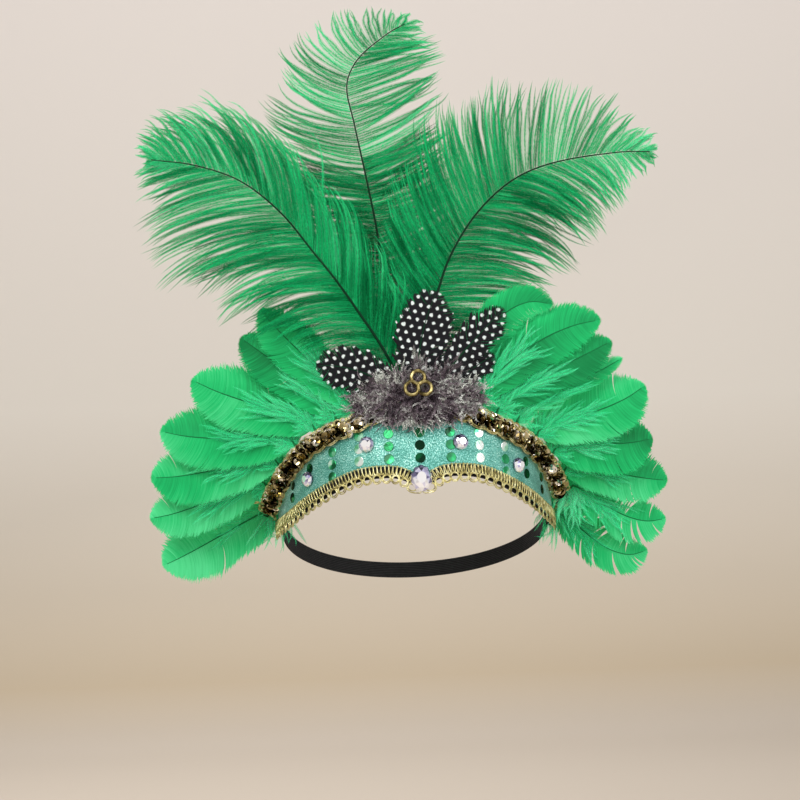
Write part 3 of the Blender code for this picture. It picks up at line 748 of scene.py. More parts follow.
@dataclass(frozen=True)
class ShortFeather(PiledPiece):
    """Short feather: a quill on the band's edge and one rounded, cupped vane."""

    name: str
    angle: float
    out: float
    tip: Point
    arrive: float
    width: float
    cup: float
    tone: float = 0.42
    vane_start: float = 0.03
    quill_rise: float = 10.0
    arrive_share: float = 0.45
    trim_start: float = 14.0
    foot_spread: float = 1.0
    gap: float = 0.3
    quill_half: float = 1.1
    strips: int = 190
    steps: int = 8
    overlap: float = 1.5
    quill_foot: float = 0.75
    quill_tip: float = 0.16
    ragged: float = 0.015
    splits: int = 1
    split_turn: float = 1.8
    split_length: float = 0.05
    tone_spread: float = 0.04
    fringe_start: float = 0.6
    tone_turn: float = 0.16
    down_strands: int = 95
    down_length: tuple[float, float] = (9.0, 27.0)
    down_share: float = 0.42
    skirt_strands: int = 70
    skirt_length: tuple[float, float] = (7.0, 16.0)
    wisps: int = 0
    wisp_length: tuple[float, float] = (10.0, 30.0)
    flat_map: bool = False

    @property
    def seed(self) -> int:
        """Number that makes this feather's random draws its own."""
        return sum(ord(letter) * (place + 3) for place, letter in enumerate(self.name))

    def root(self, band: Band) -> Array:
        """Where the quill stands: on the trim, on the band's edge, or against the band's end.

        Args:
            band: The band that holds it.

        Returns:
            The foot's point.
        """
        if abs(self.angle) >= band.end:
            end = band.point(self.angle, band.trim_height(self.angle), self.out)
            return end + np.array([0.0, self.quill_half + self.gap, 0.0])
        highest = band.trim_height(max(abs(self.angle) - self.foot_spread, 0.0))
        if self.out > 0 and abs(self.angle) > self.trim_start:
            climb = highest - band.trim_height(self.angle)
            edge = band.trim_point(self.angle, band.trim_width + self.gap, self.out - self.gap)
            return edge + np.array([0.0, 0.0, climb])
        return band.point(self.angle, highest + band.top_margin + self.gap, self.out)

    def line(self, band: Band) -> Shaft:
        """Shaft of the feather: up out of the band, then over to its tip.

        Args:
            band: The band that holds it.

        Returns:
            The shaft.
        """
        root = self.root(band)
        tip = np.array(self.tip, float)
        reach = np.linalg.norm(tip - root) * self.arrive_share
        rise = root + np.array([0.0, 0.0, self.quill_rise])
        arrive = tip - directions(np.array(self.arrive)) * reach
        t = np.linspace(0, 1, 9)[:, None]
        start = root * (1 - t) ** 3 + rise * 3 * t * (1 - t) ** 2
        return Shaft(start + arrive * 3 * t**2 * (1 - t) + tip * t**3)

    def split_offsets(self, base: Array, rng: Draws) -> Array:
        """How far the barbs turn where the vane has come apart.

        Args:
            base: Each barb's place along the vane.
            rng: Source of the random draws.

        Returns:
            Turns in degrees, backwards before a split and forwards after it.
        """
        turns = np.zeros_like(base)
        for place in rng.uniform(0.25, 0.9, self.splits):
            away = base - place
            size = self.split_turn * rng.uniform(0.3, 1.0)
            turns += np.sign(away) * size * np.exp(-np.abs(away) / self.split_length)
        return turns

    def half_vane(self, pile: MeshPile, shaft: Shaft, side: int) -> None:
        """One side of the vane, as overlapping barbs.

        Args:
            pile: Where it goes.
            shaft: The feather's shaft.
            side: 1 for the left of the shaft and -1 for its right.
        """
        rng = pile.rng
        base = np.linspace(0, 1, self.strips)
        width, ahead = VANE_OUTLINE.at(base).T
        span = 1 - self.vane_start
        start = shaft.at(self.vane_start + span * base)
        end_share = self.vane_start + span * np.minimum(ahead, 1.0)
        beyond = np.maximum(ahead - 1.0, 0.0)[:, None] * shaft.length
        forward = directions(shaft.angle(end_share))
        locks = rng.normal(0, self.ragged, self.strips // 9 + 1).repeat(9)[: self.strips]
        ragged = 1.02 + rng.normal(0, self.ragged, self.strips) + locks
        reach = (self.width / 2 * width * ragged)[:, None]
        end = shaft.at(end_share) + shaft.across(end_share) * side * reach + forward * beyond
        chord = end - start
        turn = np.radians(self.split_offsets(base, rng)) * -side
        x, z = chord[:, 0].copy(), chord[:, 2].copy()
        chord[:, 0] = x * np.cos(turn) - z * np.sin(turn)
        chord[:, 2] = x * np.sin(turn) + z * np.cos(turn)
        t = np.linspace(0, 1, self.steps)
        bow = (0.10 * np.linalg.norm(chord, axis=1))[:, None] * np.sin(math.pi * t * 0.9)
        lines = start[:, None] + chord[:, None] * t[:, None]
        lines = lines - forward[:, None] * bow[..., None]
        cup = self.cup * t**2 * width[:, None]
        ripple = 0.5 * np.sin(base * 23 + self.seed)[:, None] * t**2
        ripple = ripple + rng.normal(0, 0.06, (self.strips, 1)) * t
        lines[..., 1] += cup + ripple
        pitch = shaft.length * span / self.strips
        fan = np.linalg.norm(np.diff(end, axis=0, append=end[-1:]), axis=1)
        fan[-1] = fan[-2]
        half = 0.5 * self.overlap * (pitch * (1 - t) + np.maximum(fan, pitch * 0.6)[:, None] * t)
        half = half * (1 - 0.55 * t**8)
        edge = forward[:, None] * half[..., None]
        tilt = np.array([0.0, 0.10, 0.0])
        points = np.stack([lines - edge, lines + edge + tilt], axis=2)
        u = np.broadcast_to(np.linspace(0, 1, self.steps)[None, :, None] * side, points.shape[:3])
        u_mm = u * np.linalg.norm(chord, axis=1)[:, None, None]
        v_mm = (base * shaft.length * span)[:, None, None] + np.array([-0.5, 0.5]) * pitch
        uv = np.stack([u_mm, np.broadcast_to(v_mm, points.shape[:3])], axis=-1)
        if self.flat_map:
            way = directions(shaft.angle(0.6))
            across = np.array([-way[2], 0.0, way[0]])
            uv = np.stack([(points - shaft.at(0.0)) @ across, (points - shaft.at(0.0)) @ way], axis=-1)
        # The feather's tone, darker for the upper feathers: partly its own tone, partly a painted shadow of
        # the plumes.
        tone = self.tone + np.random.default_rng(self.seed + 1).normal(0, self.tone_spread)
        sweep = self.tone_turn * np.sin(base * 4.2 + self.seed + side)[:, None, None]
        shade = tone + sweep + rng.normal(0, 0.05, (self.strips, 1, 1))
        # Barbs are painted lighter towards their outer ends, where the thin edge lets light through: painted
        # light.
        shade = shade + 0.3 * np.abs(u) * t[None, :, None] ** 2
        soft = np.clip((np.abs(u) - self.fringe_start) / (1 - self.fringe_start), 0, 1)
        faces = grid_faces(self.strips, self.steps, 2)
        pile.add(points, faces, uv, np.clip(shade, 0, 1), Layer.VANE, soft)

    def add_down(self, pile: MeshPile, shaft: Shaft) -> None:
        """Soft down along the lower shaft, a skirt of it round the foot, and wisps that hang below the band.

        Args:
            pile: Where it goes.
            shaft: The feather's shaft.
        """
        rng = pile.rng
        count = self.down_strands + self.skirt_strands
        skirt = np.arange(count) >= self.down_strands
        share = np.where(skirt, 0.05, self.down_share) * rng.random(count) ** 1.1
        side = rng.choice([-1.0, 1.0], count)
        spread = side * rng.uniform(4, np.where(skirt, 105, 34), count)
        begin = shaft.angle(share) + spread
        end = shaft.angle(share) + spread * rng.uniform(0.1, 0.9, count) + rng.normal(0, 6, count)
        short, long = rng.uniform(*self.skirt_length, count), rng.uniform(*self.down_length, count)
        length = np.where(skirt, short, long)
        tint = rng.uniform(0.4, 0.75, count)
        strands = Strands.turning(shaft.at(share), begin, end, 0.0, length, tint, 10)
        strands.push((0, 1, 0), rng.normal(-0.6, 1.2, count))
        strands.wave(rng, 0.8, 0.9)
        DOWN_FLUFF.add(pile, strands, Layer.DOWN)
        count = self.wisps
        if count:
            share = 0.10 * rng.random(count)
            begin = HANGING + rng.normal(0, 42, count)
            end = HANGING + rng.normal(0, 32, count)
            length = rng.uniform(*self.wisp_length, count)
            tint = rng.uniform(0.6, 1, count)
            hanging = Strands.turning(shaft.at(share), begin, end, 0.0, length, tint, 12)
            hanging.push((0, 1, 0), rng.normal(0, 3.0, count))
            hanging.wave(rng, 1.4, 1.2)
            DOWN_FLUFF.add(pile, hanging, Layer.DOWN)

    def fill(self, pile: MeshPile) -> None:
        """Put the two halves of the vane, the quill and the down in the feather's pile.

        Args:
            pile: The pile.
        """
        shaft = self.line(pile.band)
        for side in (1, -1):
            self.half_vane(pile, shaft, side)
        shaft.add(pile, self.quill_foot, self.quill_tip, sides=6, steps=24, until=0.97)
        self.add_down(pile, shaft)


# Direction of down that hangs straight down.
HANGING = -90.0
DOWN_FLUFF = Fluff(0.85, 0.9, sweep=25, roll=40, stem=0.0, stem_steps=7, haze=1.3, batches=3, root_share=0.7)


@dataclass(frozen=True)
class Tuft(PiledPiece):
    """Grey down over the feather roots, as fluffy strands in a plane on the cloth."""

    name: str = "down_fluff"
    height: float = 54.5
    out: float = 2.3
    radius_across: float = 43.0
    radius_up: float = 14.0
    strands: int = 1000
    length: tuple[float, float] = (7.0, 17.0)
    lift: float = 6.0
    seed: int = 71
    fluff: Fluff = Fluff(0.9, 1.6, sweep=44, roll=70, stem=0.0, stem_steps=6, haze=1.0, batches=3)

    def fill(self, pile: MeshPile) -> None:
        """Put the fluffy strands in the tuft's pile.

        Args:
            pile: The pile.
        """
        rng = pile.rng
        place = np.array(pile.band.frame(0.0, self.height, self.out))
        turn = rng.uniform(0, 360, self.strands)
        ring = 0.85 * rng.random(self.strands) ** 0.65
        across = self.radius_across * ring * np.cos(np.radians(turn))
        up = self.radius_up * ring * np.sin(np.radians(turn))
        length = rng.uniform(*self.length, self.strands) * (1.1 - 0.45 * ring)
        start = np.stack([across, np.zeros(self.strands), up], axis=-1)
        begin = turn + rng.normal(0, 70 - 55 * ring, self.strands)
        tint = np.clip(rng.normal(0.30 + 0.30 * ring, 0.24, self.strands), 0.02, 1)
        end = begin + rng.normal(0, 50, self.strands)
        strands = Strands.turning(start, begin, end, 0.0, length, tint, 12)
        strands.tip_light = 0.35
        strands.push((0, -1, 0), rng.uniform(0.0, self.lift, self.strands), 0.7)
        strands.wave(rng, 1.5, 1.2)
        flat = strands.paths
        depth = np.maximum(-flat[..., 1], 0.3) + self.lift * 0.35 * (1 - ring)[:, None]
        bow = flat[..., 0] ** 2 / (2.4 * pile.band.half_width)
        local = np.stack([flat[..., 0], flat[..., 2], depth - bow], axis=-1)
        strands.paths = local @ place[:3, :3].T + place[:3, 3]
        self.fluff.add(pile, strands, Layer.VANE)


@dataclass(frozen=True)
class LoopBraid(PiledPiece):
    """Gold gimp along the lower edge: thread wound over a dark tape, with a row of round picots under it."""

    name: str = "gimp_braid"
    end: float = 87.0
    out: float = 1.0
    coil_pitch: float = 2.35
    coil_half: float = 2.6
    coil_deep: float = 0.5
    coil_thread: float = 0.45
    coil_points: int = 14
    scallop: float = 0.35
    cord_drop: float = 2.6
    cord_radius: float = 0.4
    edge_radius: float = 0.22
    tape_out: float = 0.35
    tape_half: float = 2.2
    picots: int = 46
    picot_drop: float = 5.1
    picot_half_width: float = 3.05
    picot_half_height: float = 2.75
    picot_thread: float = 0.38
    picot_points: int = 20
    seed: int = 5

    def lay(
        self, band: Band, angle: Array, up: Values, out: Values
    ) -> Array:
        """Points on the braid, square to its own line.

        Args:
            band: The band that carries it.
            angle: Angles round the head.
            up: Distances across the braid.
            out: Distances out from the band's face.

        Returns:
            One point an angle.
        """
        base = band.braid_point(angle, 0.0, 0.0)
        way = unit(band.braid_point(angle + 0.4, 0.0, 0.0) - band.braid_point(angle - 0.4, 0.0, 0.0))
        outward = unit(np.cross(way, band.braid_point(angle, 1.0, 0.0) - base))
        over = np.cross(outward, way)
        up = np.broadcast_to(up, angle.shape)[..., None]
        return base + over * up + outward * np.broadcast_to(out, angle.shape)[..., None]

    def fill(self, pile: MeshPile) -> None:
        """Put the wound thread, its two cords, the tape and the picots in the braid's pile.

        Args:
            pile: The pile.
        """
        angle = np.linspace(-self.end, self.end, 241)
        arc = Table(distances(pile.band.braid_point(angle, 0, self.out)), angle)
        self.add_coil(pile, arc)
        angle = arc.at(np.linspace(0, arc.last, 420))
        for up, radius in ((-self.cord_drop, self.cord_radius), (self.coil_half, self.edge_radius)):
            line = self.lay(pile.band, angle, up, self.out)
            add_tubes(pile, line[None], radius, 6, 0.55)
        edges = [self.lay(pile.band, angle, up, self.tape_out) for up in (-self.tape_half, self.tape_half)]
        pile.add(np.stack(edges, axis=1), grid_faces(1, len(angle), 2), None, 0.5, Layer.SHAFT)
        self.add_picots(pile, arc)

    def add_coil(self, pile: MeshPile, arc: Table) -> None:
        """Thread wound flat over the tape, a little taller over each picot.

        Args:
            pile: Where it goes.
            arc: Angle by distance along the braid.
        """
        total = arc.last
        turns = int(total / self.coil_pitch)
        phase = np.linspace(0, turns * 2 * math.pi, turns * self.coil_points + 1)
        along = np.clip(phase / (2 * math.pi) * self.coil_pitch - 0.3 * np.sin(phase), 0, total)
        wave = np.abs(np.sin(along / total * self.picots * math.pi))
        up = (self.coil_half + self.scallop * wave) * np.cos(phase)
        out = self.out + self.coil_deep * np.sin(phase) + 0.25 * np.cos(phase) ** 2
        path = self.lay(pile.band, arc.at(along), up, out)[None]
        add_tubes(pile, path, self.coil_thread, 5, 0.6, up=(0.3, 0.2, 1))

    def add_picots(self, pile: MeshPile, arc: Table) -> None:
        """Round loops of two threads under the ribbon.

        Args:
            pile: Where they go.
            arc: Angle by distance along the braid.
        """
        rng = pile.rng
        total = arc.last
        middle = (np.arange(self.picots) + 0.5) * total / self.picots + rng.normal(0, 0.22, self.picots)
        turn = np.linspace(0, 2 * math.pi, self.picot_points + 1)
        for shrink, forward in ((1.0, 0.0), (0.76, 0.3)):
            wide = self.picot_half_width * shrink * rng.uniform(0.93, 1.05, self.picots)
            tall = self.picot_half_height * shrink * rng.uniform(0.93, 1.07, self.picots)
            along = np.clip(middle[:, None] + wide[:, None] * np.sin(turn), 0, total)
            up = -self.picot_drop + (1 - shrink) * 0.9 + tall[:, None] * np.cos(turn)
            out = self.out - 0.2 + forward + 0.3 * np.sin(turn + 0.6)
            path = self.lay(pile.band, arc.at(along), up, out)
            add_tubes(pile, path, self.picot_thread, 5, 0.62, up=(0, 1, 0.1))


@dataclass(frozen=True)
class SequinTrim(PiledPiece):
    """Antique gold trim: rows of tilted, overlapping sequins between a scalloped cord and gold loops."""

    name: str
    side: int
    seed: int
    start: float = 14.0
    end: float = 87.0
    rows: tuple[float, ...] = (2.9, 10.2, 5.2, 7.9, 6.4)
    pitch: float = 2.7
    sequin_radius: float = 2.6
    hole: float = 0.45
    cup: float = 0.5
    sides: int = 12
    lift: float = 1.9
    crown: float = 0.35
    tilt: float = 19.0
    lean: float = 14.0
    row_shift: float = 0.37
    loop_pitch: float = 4.3
    loop_radius: float = 1.85
    loop_rise: float = 11.7
    loop_thread: float = 0.3
    loop_points: int = 18
    scallop: float = 10.5
    bed_step: float = 0.45
    zigzag_half: float = 4.4
    zigzag_pitch: float = 2.3
    upper_cord: float = 10.6
    loose_ends: int = 0
    loose_place: float = 11.0
    loose_angle: float = 176.0

    def axes(self, band: Band, angle: Array, rise: Values) -> tuple[Array, ...]:
        """Axes of the trim's face.

        Args:
            band: The band that carries it.
            angle: Angles round the head.
            rise: Distances up from the trim's lower edge.

        Returns:
            Unit vectors along the trim, across it and out of its face.
        """
        way = unit(band.trim_point(angle + 0.3, rise, 0) - band.trim_point(angle - 0.3, rise, 0))
        over = unit(band.trim_point(angle, rise + 1, 0) - band.trim_point(angle, rise, 0))
        outward = unit(np.cross(way, over))
        return way, np.cross(outward, way), outward

    def fill(self, pile: MeshPile) -> None:
        """Put the sequins, the loops, the bed of thread and its loose ends in the trim's pile.

        Args:
            pile: The pile.
        """
        angle = np.linspace(self.start, self.end, 121)
        line = pile.band.trim_point(angle, pile.band.trim_width / 2, self.lift)
        arc = Table(distances(line), angle * self.side)
        for number, rise in enumerate(self.rows):
            self.add_sequins(pile, arc, rise, number)
        self.add_loops(pile, arc)
        self.add_bed(pile, arc)
        if self.loose_ends:
            self.add_loose_ends(pile, arc)

    def add_sequins(self, pile: MeshPile, arc: Table, rise: float, number: int) -> None:
        """One row of cupped sequins, each tilted its own way.

        Args:
            pile: Where they go.
            arc: Angle by distance along the trim.
            rise: Distance of the row from the trim's lower edge.
            number: The row's number, later rows lying over earlier ones.
        """
        rng, band, total = pile.rng, pile.band, arc.last
        count = int((total - 2 * self.sequin_radius) / self.pitch)
        along = self.sequin_radius + (np.arange(count) + self.row_shift * number) * self.pitch
        along = along + rng.normal(0, 0.4, count)
        angle = arc.at(np.clip(along, self.sequin_radius, total - self.sequin_radius))
        place = rise + rng.normal(0, 0.45, count)
        way, over, outward = self.axes(band, angle, place)
        lift = self.lift + self.crown * number + rng.uniform(-0.2, 0.4, count)
        middle = band.trim_point(angle, place, lift)
        tilts = rng.normal(0, self.tilt, (2, count, 1)) + np.array([self.lean, 0.0])[:, None, None]
        lean, roll = np.radians(tilts)
        normal = unit(outward + way * np.tan(lean) * self.side + over * np.tan(roll))
        first = unit(way - normal * (way * normal).sum(axis=1, keepdims=True))
        second = np.cross(normal, first)
        turn = np.arange(self.sides) * 2 * math.pi / self.sides
        size = self.sequin_radius * rng.uniform(0.72, 1.1, count)
        radial = first[:, None] * np.cos(turn)[:, None] + second[:, None] * np.sin(turn)[:, None]
        rings = []
        for share, deep in ((self.hole / self.sequin_radius, -1.0), (0.62, -0.65), (1.0, 0.0)):
            ring = middle[:, None] + radial * (size * share)[:, None, None]
            rings.append(ring + normal[:, None] * self.cup * deep)
        points = np.stack(rings, axis=1)
        # Each sequin takes a shade of antique gold; the palest stand for sequins that catch the lamps, a
        # painted reflection, and each is painted lighter across one side, a painted highlight.
        shade = rng.choice([0.05, 0.3, 0.55, 0.8, 1.0], count, p=[0.16, 0.26, 0.30, 0.18, 0.10])
        across = (radial * unit(over + way)[:, None]).sum(axis=-1)
        shade = shade[:, None, None] + 0.22 * across[:, None, :] * np.array([0.2, 0.6, 1.0])[:, None]
        pile.add(points, grid_faces(count, 3, self.sides, closed=True), None, np.clip(shade, 0, 1))

    def add_loops(self, pile: MeshPile, arc: Table) -> None:
        """Row of gold loops along the upper edge.

        Args:
            pile: Where they go.
            arc: Angle by distance along the trim.
        """
        rng, total = pile.rng, arc.last
        count = int(total / self.loop_pitch)
        middle = (np.arange(count) + 0.5) * total / count + rng.normal(0, 0.25, count)
        turn = np.linspace(0, 2 * math.pi, self.loop_points + 1)
        for shrink in (1.0, 0.68):
            wide = self.loop_radius * 1.15 * shrink * rng.uniform(0.9, 1.1, count)
            tall = self.loop_radius * shrink * rng.uniform(0.9, 1.1, count)
            along = np.clip(middle[:, None] + wide[:, None] * np.sin(turn), 0, total)
            rise = self.loop_rise + tall[:, None] * np.cos(turn)
            lift = 1.2 + 0.35 * np.sin(turn) + rng.uniform(0, 0.9, count)[:, None]
            path = pile.band.trim_point(arc.at(along), rise, lift)
            add_tubes(pile, path, self.loop_thread, 5, 0.6, Layer.SHAFT, up=(0.1, 1, 0.2))

    def add_bed(self, pile: MeshPile, arc: Table) -> None:
        """Zigzag of gold thread that the sequins are sewn to, its scalloped cord and its upper cord.

        Args:
            pile: Where it goes.
            arc: Angle by distance along the trim.
        """
        along = np.linspace(0, arc.last, int(arc.last / self.bed_step))
        angle = arc.at(along)
        zigzag = pile.band.trim_width / 2 + self.zigzag_half * np.sin(along * 2 * math.pi / self.zigzag_pitch)
        bows = 1.9 - 1.5 * np.abs(np.sin(along * math.pi / self.scallop))
        lower, upper = (bows + 0.9, 2.1, 0.34), (self.upper_cord, 1.7, 0.4)
        for rise, lift, radius in ((zigzag, 0.8, 0.42), (bows, 1.6, 0.42), lower, upper):
            path = pile.band.trim_point(angle, rise + 0.12 * np.sin(along * 5), lift)
            add_tubes(pile, path[None], radius, 6, 0.55, Layer.SHAFT, up=(0.1, 1, 0.2))

    def add_loose_ends(self, pile: MeshPile, arc: Table) -> None:
        """Loose ends of gold thread near the trim's lower end.

        Args:
            pile: Where they go.
            arc: Angle by distance along the trim.
        """
        rng, count = pile.rng, self.loose_ends
        line = pile.band.trim_point(arc.at(arc.last - self.loose_place), pile.band.trim_width, 1.5)
        begin = self.loose_angle + rng.uniform(-18, 12, count)
        end = begin + rng.uniform(-30, 25, count)
        starts = np.repeat(line[None], count, axis=0)
        length, tint = rng.uniform(7, 12, count), np.full(count, 0.6)
        strands = Strands.turning(starts, begin, end, 0.0, length, tint, 10)
        strands.push((0, -1, 0), rng.uniform(0, 3, count))
        add_tubes(pile, strands.paths, 0.3, 5, 0.65, Layer.SHAFT, up=(0, 1, 0))


@dataclass(frozen=True)
class FoilDots(PiledPiece):
    """Round green foil dots, bonded to the cloth in columns."""

    name: str = "foil_dots"
    radius: float = 3.0
    rise: float = 0.4
    sides: int = 28
    column_step: float = 12.75
    columns: int = 5
    rows: tuple[int, int] = (-3, 5)
    row_step: float = 7.4
    first_row: float = 20.0
    sag: float = 7.8
    above_braid: float = 4.9
    below_trim: float = 5.0
    tilt: float = 2.4
    glint_angle: float = 30.0
    glint_spread: float = 12.0
    seed: int = 9
    smooth: bool = False

    def places(self, band: Band) -> Array:
        """Angle and height of each dot that fits between the braid and the trim.

        Args:
            band: The band that carries them.

        Returns:
            One row a dot.
        """
        found = []
        for k in range(-self.columns, self.columns + 1):
            angle = k * self.column_step
            for row in range(*self.rows):
                height = self.first_row - self.sag * (k / self.columns) ** 2 + row * self.row_step
                lowest = band.braid_height(angle) + self.above_braid
                if lowest < height < band.trim_height(angle) - self.below_trim:
                    found.append((angle, height))
        return np.array(found)

    def fill(self, pile: MeshPile) -> None:
        """Put the dots in their pile.

        Args:
            pile: The pile.
        """
        rng, band = pile.rng, pile.band
        angle, height = self.places(band).T
        count = len(angle)
        middle = band.point(angle, height, 0)
        along, up, outward = band.frames(angle, height)
        turn = np.arange(self.sides) * 2 * math.pi / self.sides
        lean = np.radians(rng.normal(0, self.tilt, (2, count)))[..., None]
        rings = []
        for share, rise in ((1.0, 0.05), (1.0, 0.75), (0.93, 1.0), (0.02, 1.0)):
            x = self.radius * share * np.cos(turn)
            y = self.radius * share * np.sin(turn)
            flat = along[:, None] * x[:, None] + up[:, None] * y[:, None]
            bow = -(x**2) / (2 * band.half_width)
            lift = self.rise * rise + bow + lean[0] * x + lean[1] * y
            rings.append(middle[:, None] + flat + outward[:, None] * lift[..., None])
        points = np.stack(rings, axis=1)
        # Dots about glint_angle round the head are painted bright, as foil that catches the lamps there:
        # painted reflection.
        glint = np.exp(-(((np.abs(angle) - self.glint_angle) / self.glint_spread) ** 2))
        shade = np.clip(0.05 + 0.95 * glint + rng.normal(0, 0.13, count), 0, 1)
        # Each dot is painted lighter on one side and darker on the other, by a random amount: painted light
        # and shade.
        split = rng.choice([-1.0, 1.0], count) * rng.uniform(0.0, 0.45, count)
        shade = shade[:, None, None] + split[:, None, None] * np.cos(turn + 0.6) * np.ones((len(rings), 1))
        pile.add(points, grid_faces(count, len(rings), self.sides, closed=True), None, np.clip(shade, 0, 1))


def bent_sheet(
    name: str, columns: int, rows: int, place: Callable[[Array, Array], Array], thick: float,
    size: tuple[float, float], finish: Material,
) -> Object:
    """Wall modelled from a grid primitive, laid on a curved face and given its thickness.

    Args:
        name: Name of the piece.
        columns: Faces along the grid.
        rows: Faces up the grid.
        place: Gives the points in millimetres for shares along and up the sheet.
        thick: The wall's thickness in millimetres, inwards from the face.
        size: Length and height of the flat sheet, which the UV map is scaled to.
        finish: Its material.

    Returns:
        The sheet's object.
    """
    bpy.ops.object.select_all(action="DESELECT")
    bpy.ops.mesh.primitive_grid_add(x_subdivisions=columns, y_subdivisions=rows, size=1.0)
    made = bpy.context.object
    made.name = made.data.name = name
    mesh = made.data
    flat = np.zeros(len(mesh.vertices) * 3, np.float32)
    mesh.vertices.foreach_get("co", flat)
    flat = flat.reshape(-1, 3) + 0.5
    points = place(flat[:, 0], flat[:, 1]) * MM
    mesh.vertices.foreach_set("co", points.astype(np.float32).ravel())
    corners = np.zeros(len(mesh.loops), np.int32)
    mesh.loops.foreach_get("vertex_index", corners)
    uv = flat[corners, :2] * np.array(size)
    mesh.uv_layers[0].data.foreach_set("uv", uv.astype(np.float32).ravel())
    mesh.materials.append(finish)
    bpy.ops.object.mode_set(mode="EDIT")
    bpy.ops.mesh.select_all(action="SELECT")
    bpy.ops.mesh.normals_make_consistent(inside=False)
    bpy.ops.object.mode_set(mode="OBJECT")
    middle = mesh.polygons[len(mesh.polygons) // 2]
    if middle.normal.dot(Vector((middle.center.x, middle.center.y, 0))) < 0:
        mesh.flip_normals()
    wall = made.modifiers.new("wall", "SOLIDIFY")
    wall.thickness = thick * MM
    wall.offset = -1.0
    bpy.ops.object.modifier_apply(modifier=wall.name)
    edge = made.modifiers.new("edge", "BEVEL")
    edge.width = thick * 0.22 * MM
    edge.segments = 2
    edge.limit_method = "ANGLE"
    edge.angle_limit = math.radians(50)
    bpy.ops.object.modifier_apply(modifier=edge.name)
    bpy.ops.object.shade_smooth_by_angle(angle=math.radians(40))
    return made


@dataclass(frozen=True)
class BandWalls:
    """Cloth face, black backing and elastic strap."""

    band: Band
    cloth_thick: float = 1.2
    backing_thick: float = 1.5
    strap_thick: float = 1.0
    backing_out: float = -1.5
    strap_out: float = -3.3
    cloth_below: float = 2.4
    backing_below: float = 4.4
    columns: int = 180
    rows: int = 12
    strap_height: float = 10.0
    strap_start: float = 76.0
    strap_end_height: float = -17.0
    strap_slope: float = 0.36
    strap_slope_start: float = -14.0
    flat_size: tuple[float, float] = (285.0, 40.0)
    strap_length: float = 330.0

    def wall(
        self, name: str, below: float, out: float, thick: float, finish: Material
    ) -> Object:
        """One wall that follows the band between its two edges.

        Args:
            name: Name of the piece.
            below: How far its lower edge lies under the braid's middle.
            out: Distance of its outer side from the band's face.
            thick: Its thickness.
            finish: Its material.

        Returns:
            The wall's object.
        """
        band = self.band

        def place(u: Array, v: Array) -> Array:
            """Points of the wall.

            Args:
                u: Shares along it.
                v: Shares up it.

            Returns:
                Points in millimetres.
            """
            angle = (2 * u - 1) * band.end
            low = band.braid_height(angle) - below
            return band.point(angle, low + (band.trim_height(angle) + band.top_margin - low) * v, out)

        return bent_sheet(name, self.columns, self.rows, place, thick, self.flat_size, finish)

    def strap(self, finish: Material) -> Object:
        """Elastic from one end of the band round the back of the head to the other.

        Args:
            finish: Its material.

        Returns:
            The strap's object.
        """
        band = self.band

        def place(u: Array, v: Array) -> Array:
            """Points of the strap.

            Args:
                u: Shares along it.
                v: Shares up it.

            Returns:
                Points in millimetres.
            """
            angle = self.strap_start + (360 - 2 * self.strap_start) * u
            depth = band.point(angle, self.strap_end_height, self.strap_out)[:, 1]
            middle = self.strap_end_height - self.strap_slope * np.maximum(depth - self.strap_slope_start, 0)
            height = middle + self.strap_height * (v - 0.5)
            turn = np.radians(angle)
            wide = band.half_width + self.strap_out - band.side_lean * height
            deep = band.half_depth + self.strap_out
            return np.stack([wide * np.sin(turn), -deep * np.cos(turn), height], axis=-1)

        size = (self.strap_length, self.strap_height)
        return bent_sheet("back_elastic", 150, 8, place, self.strap_thick, size, finish)


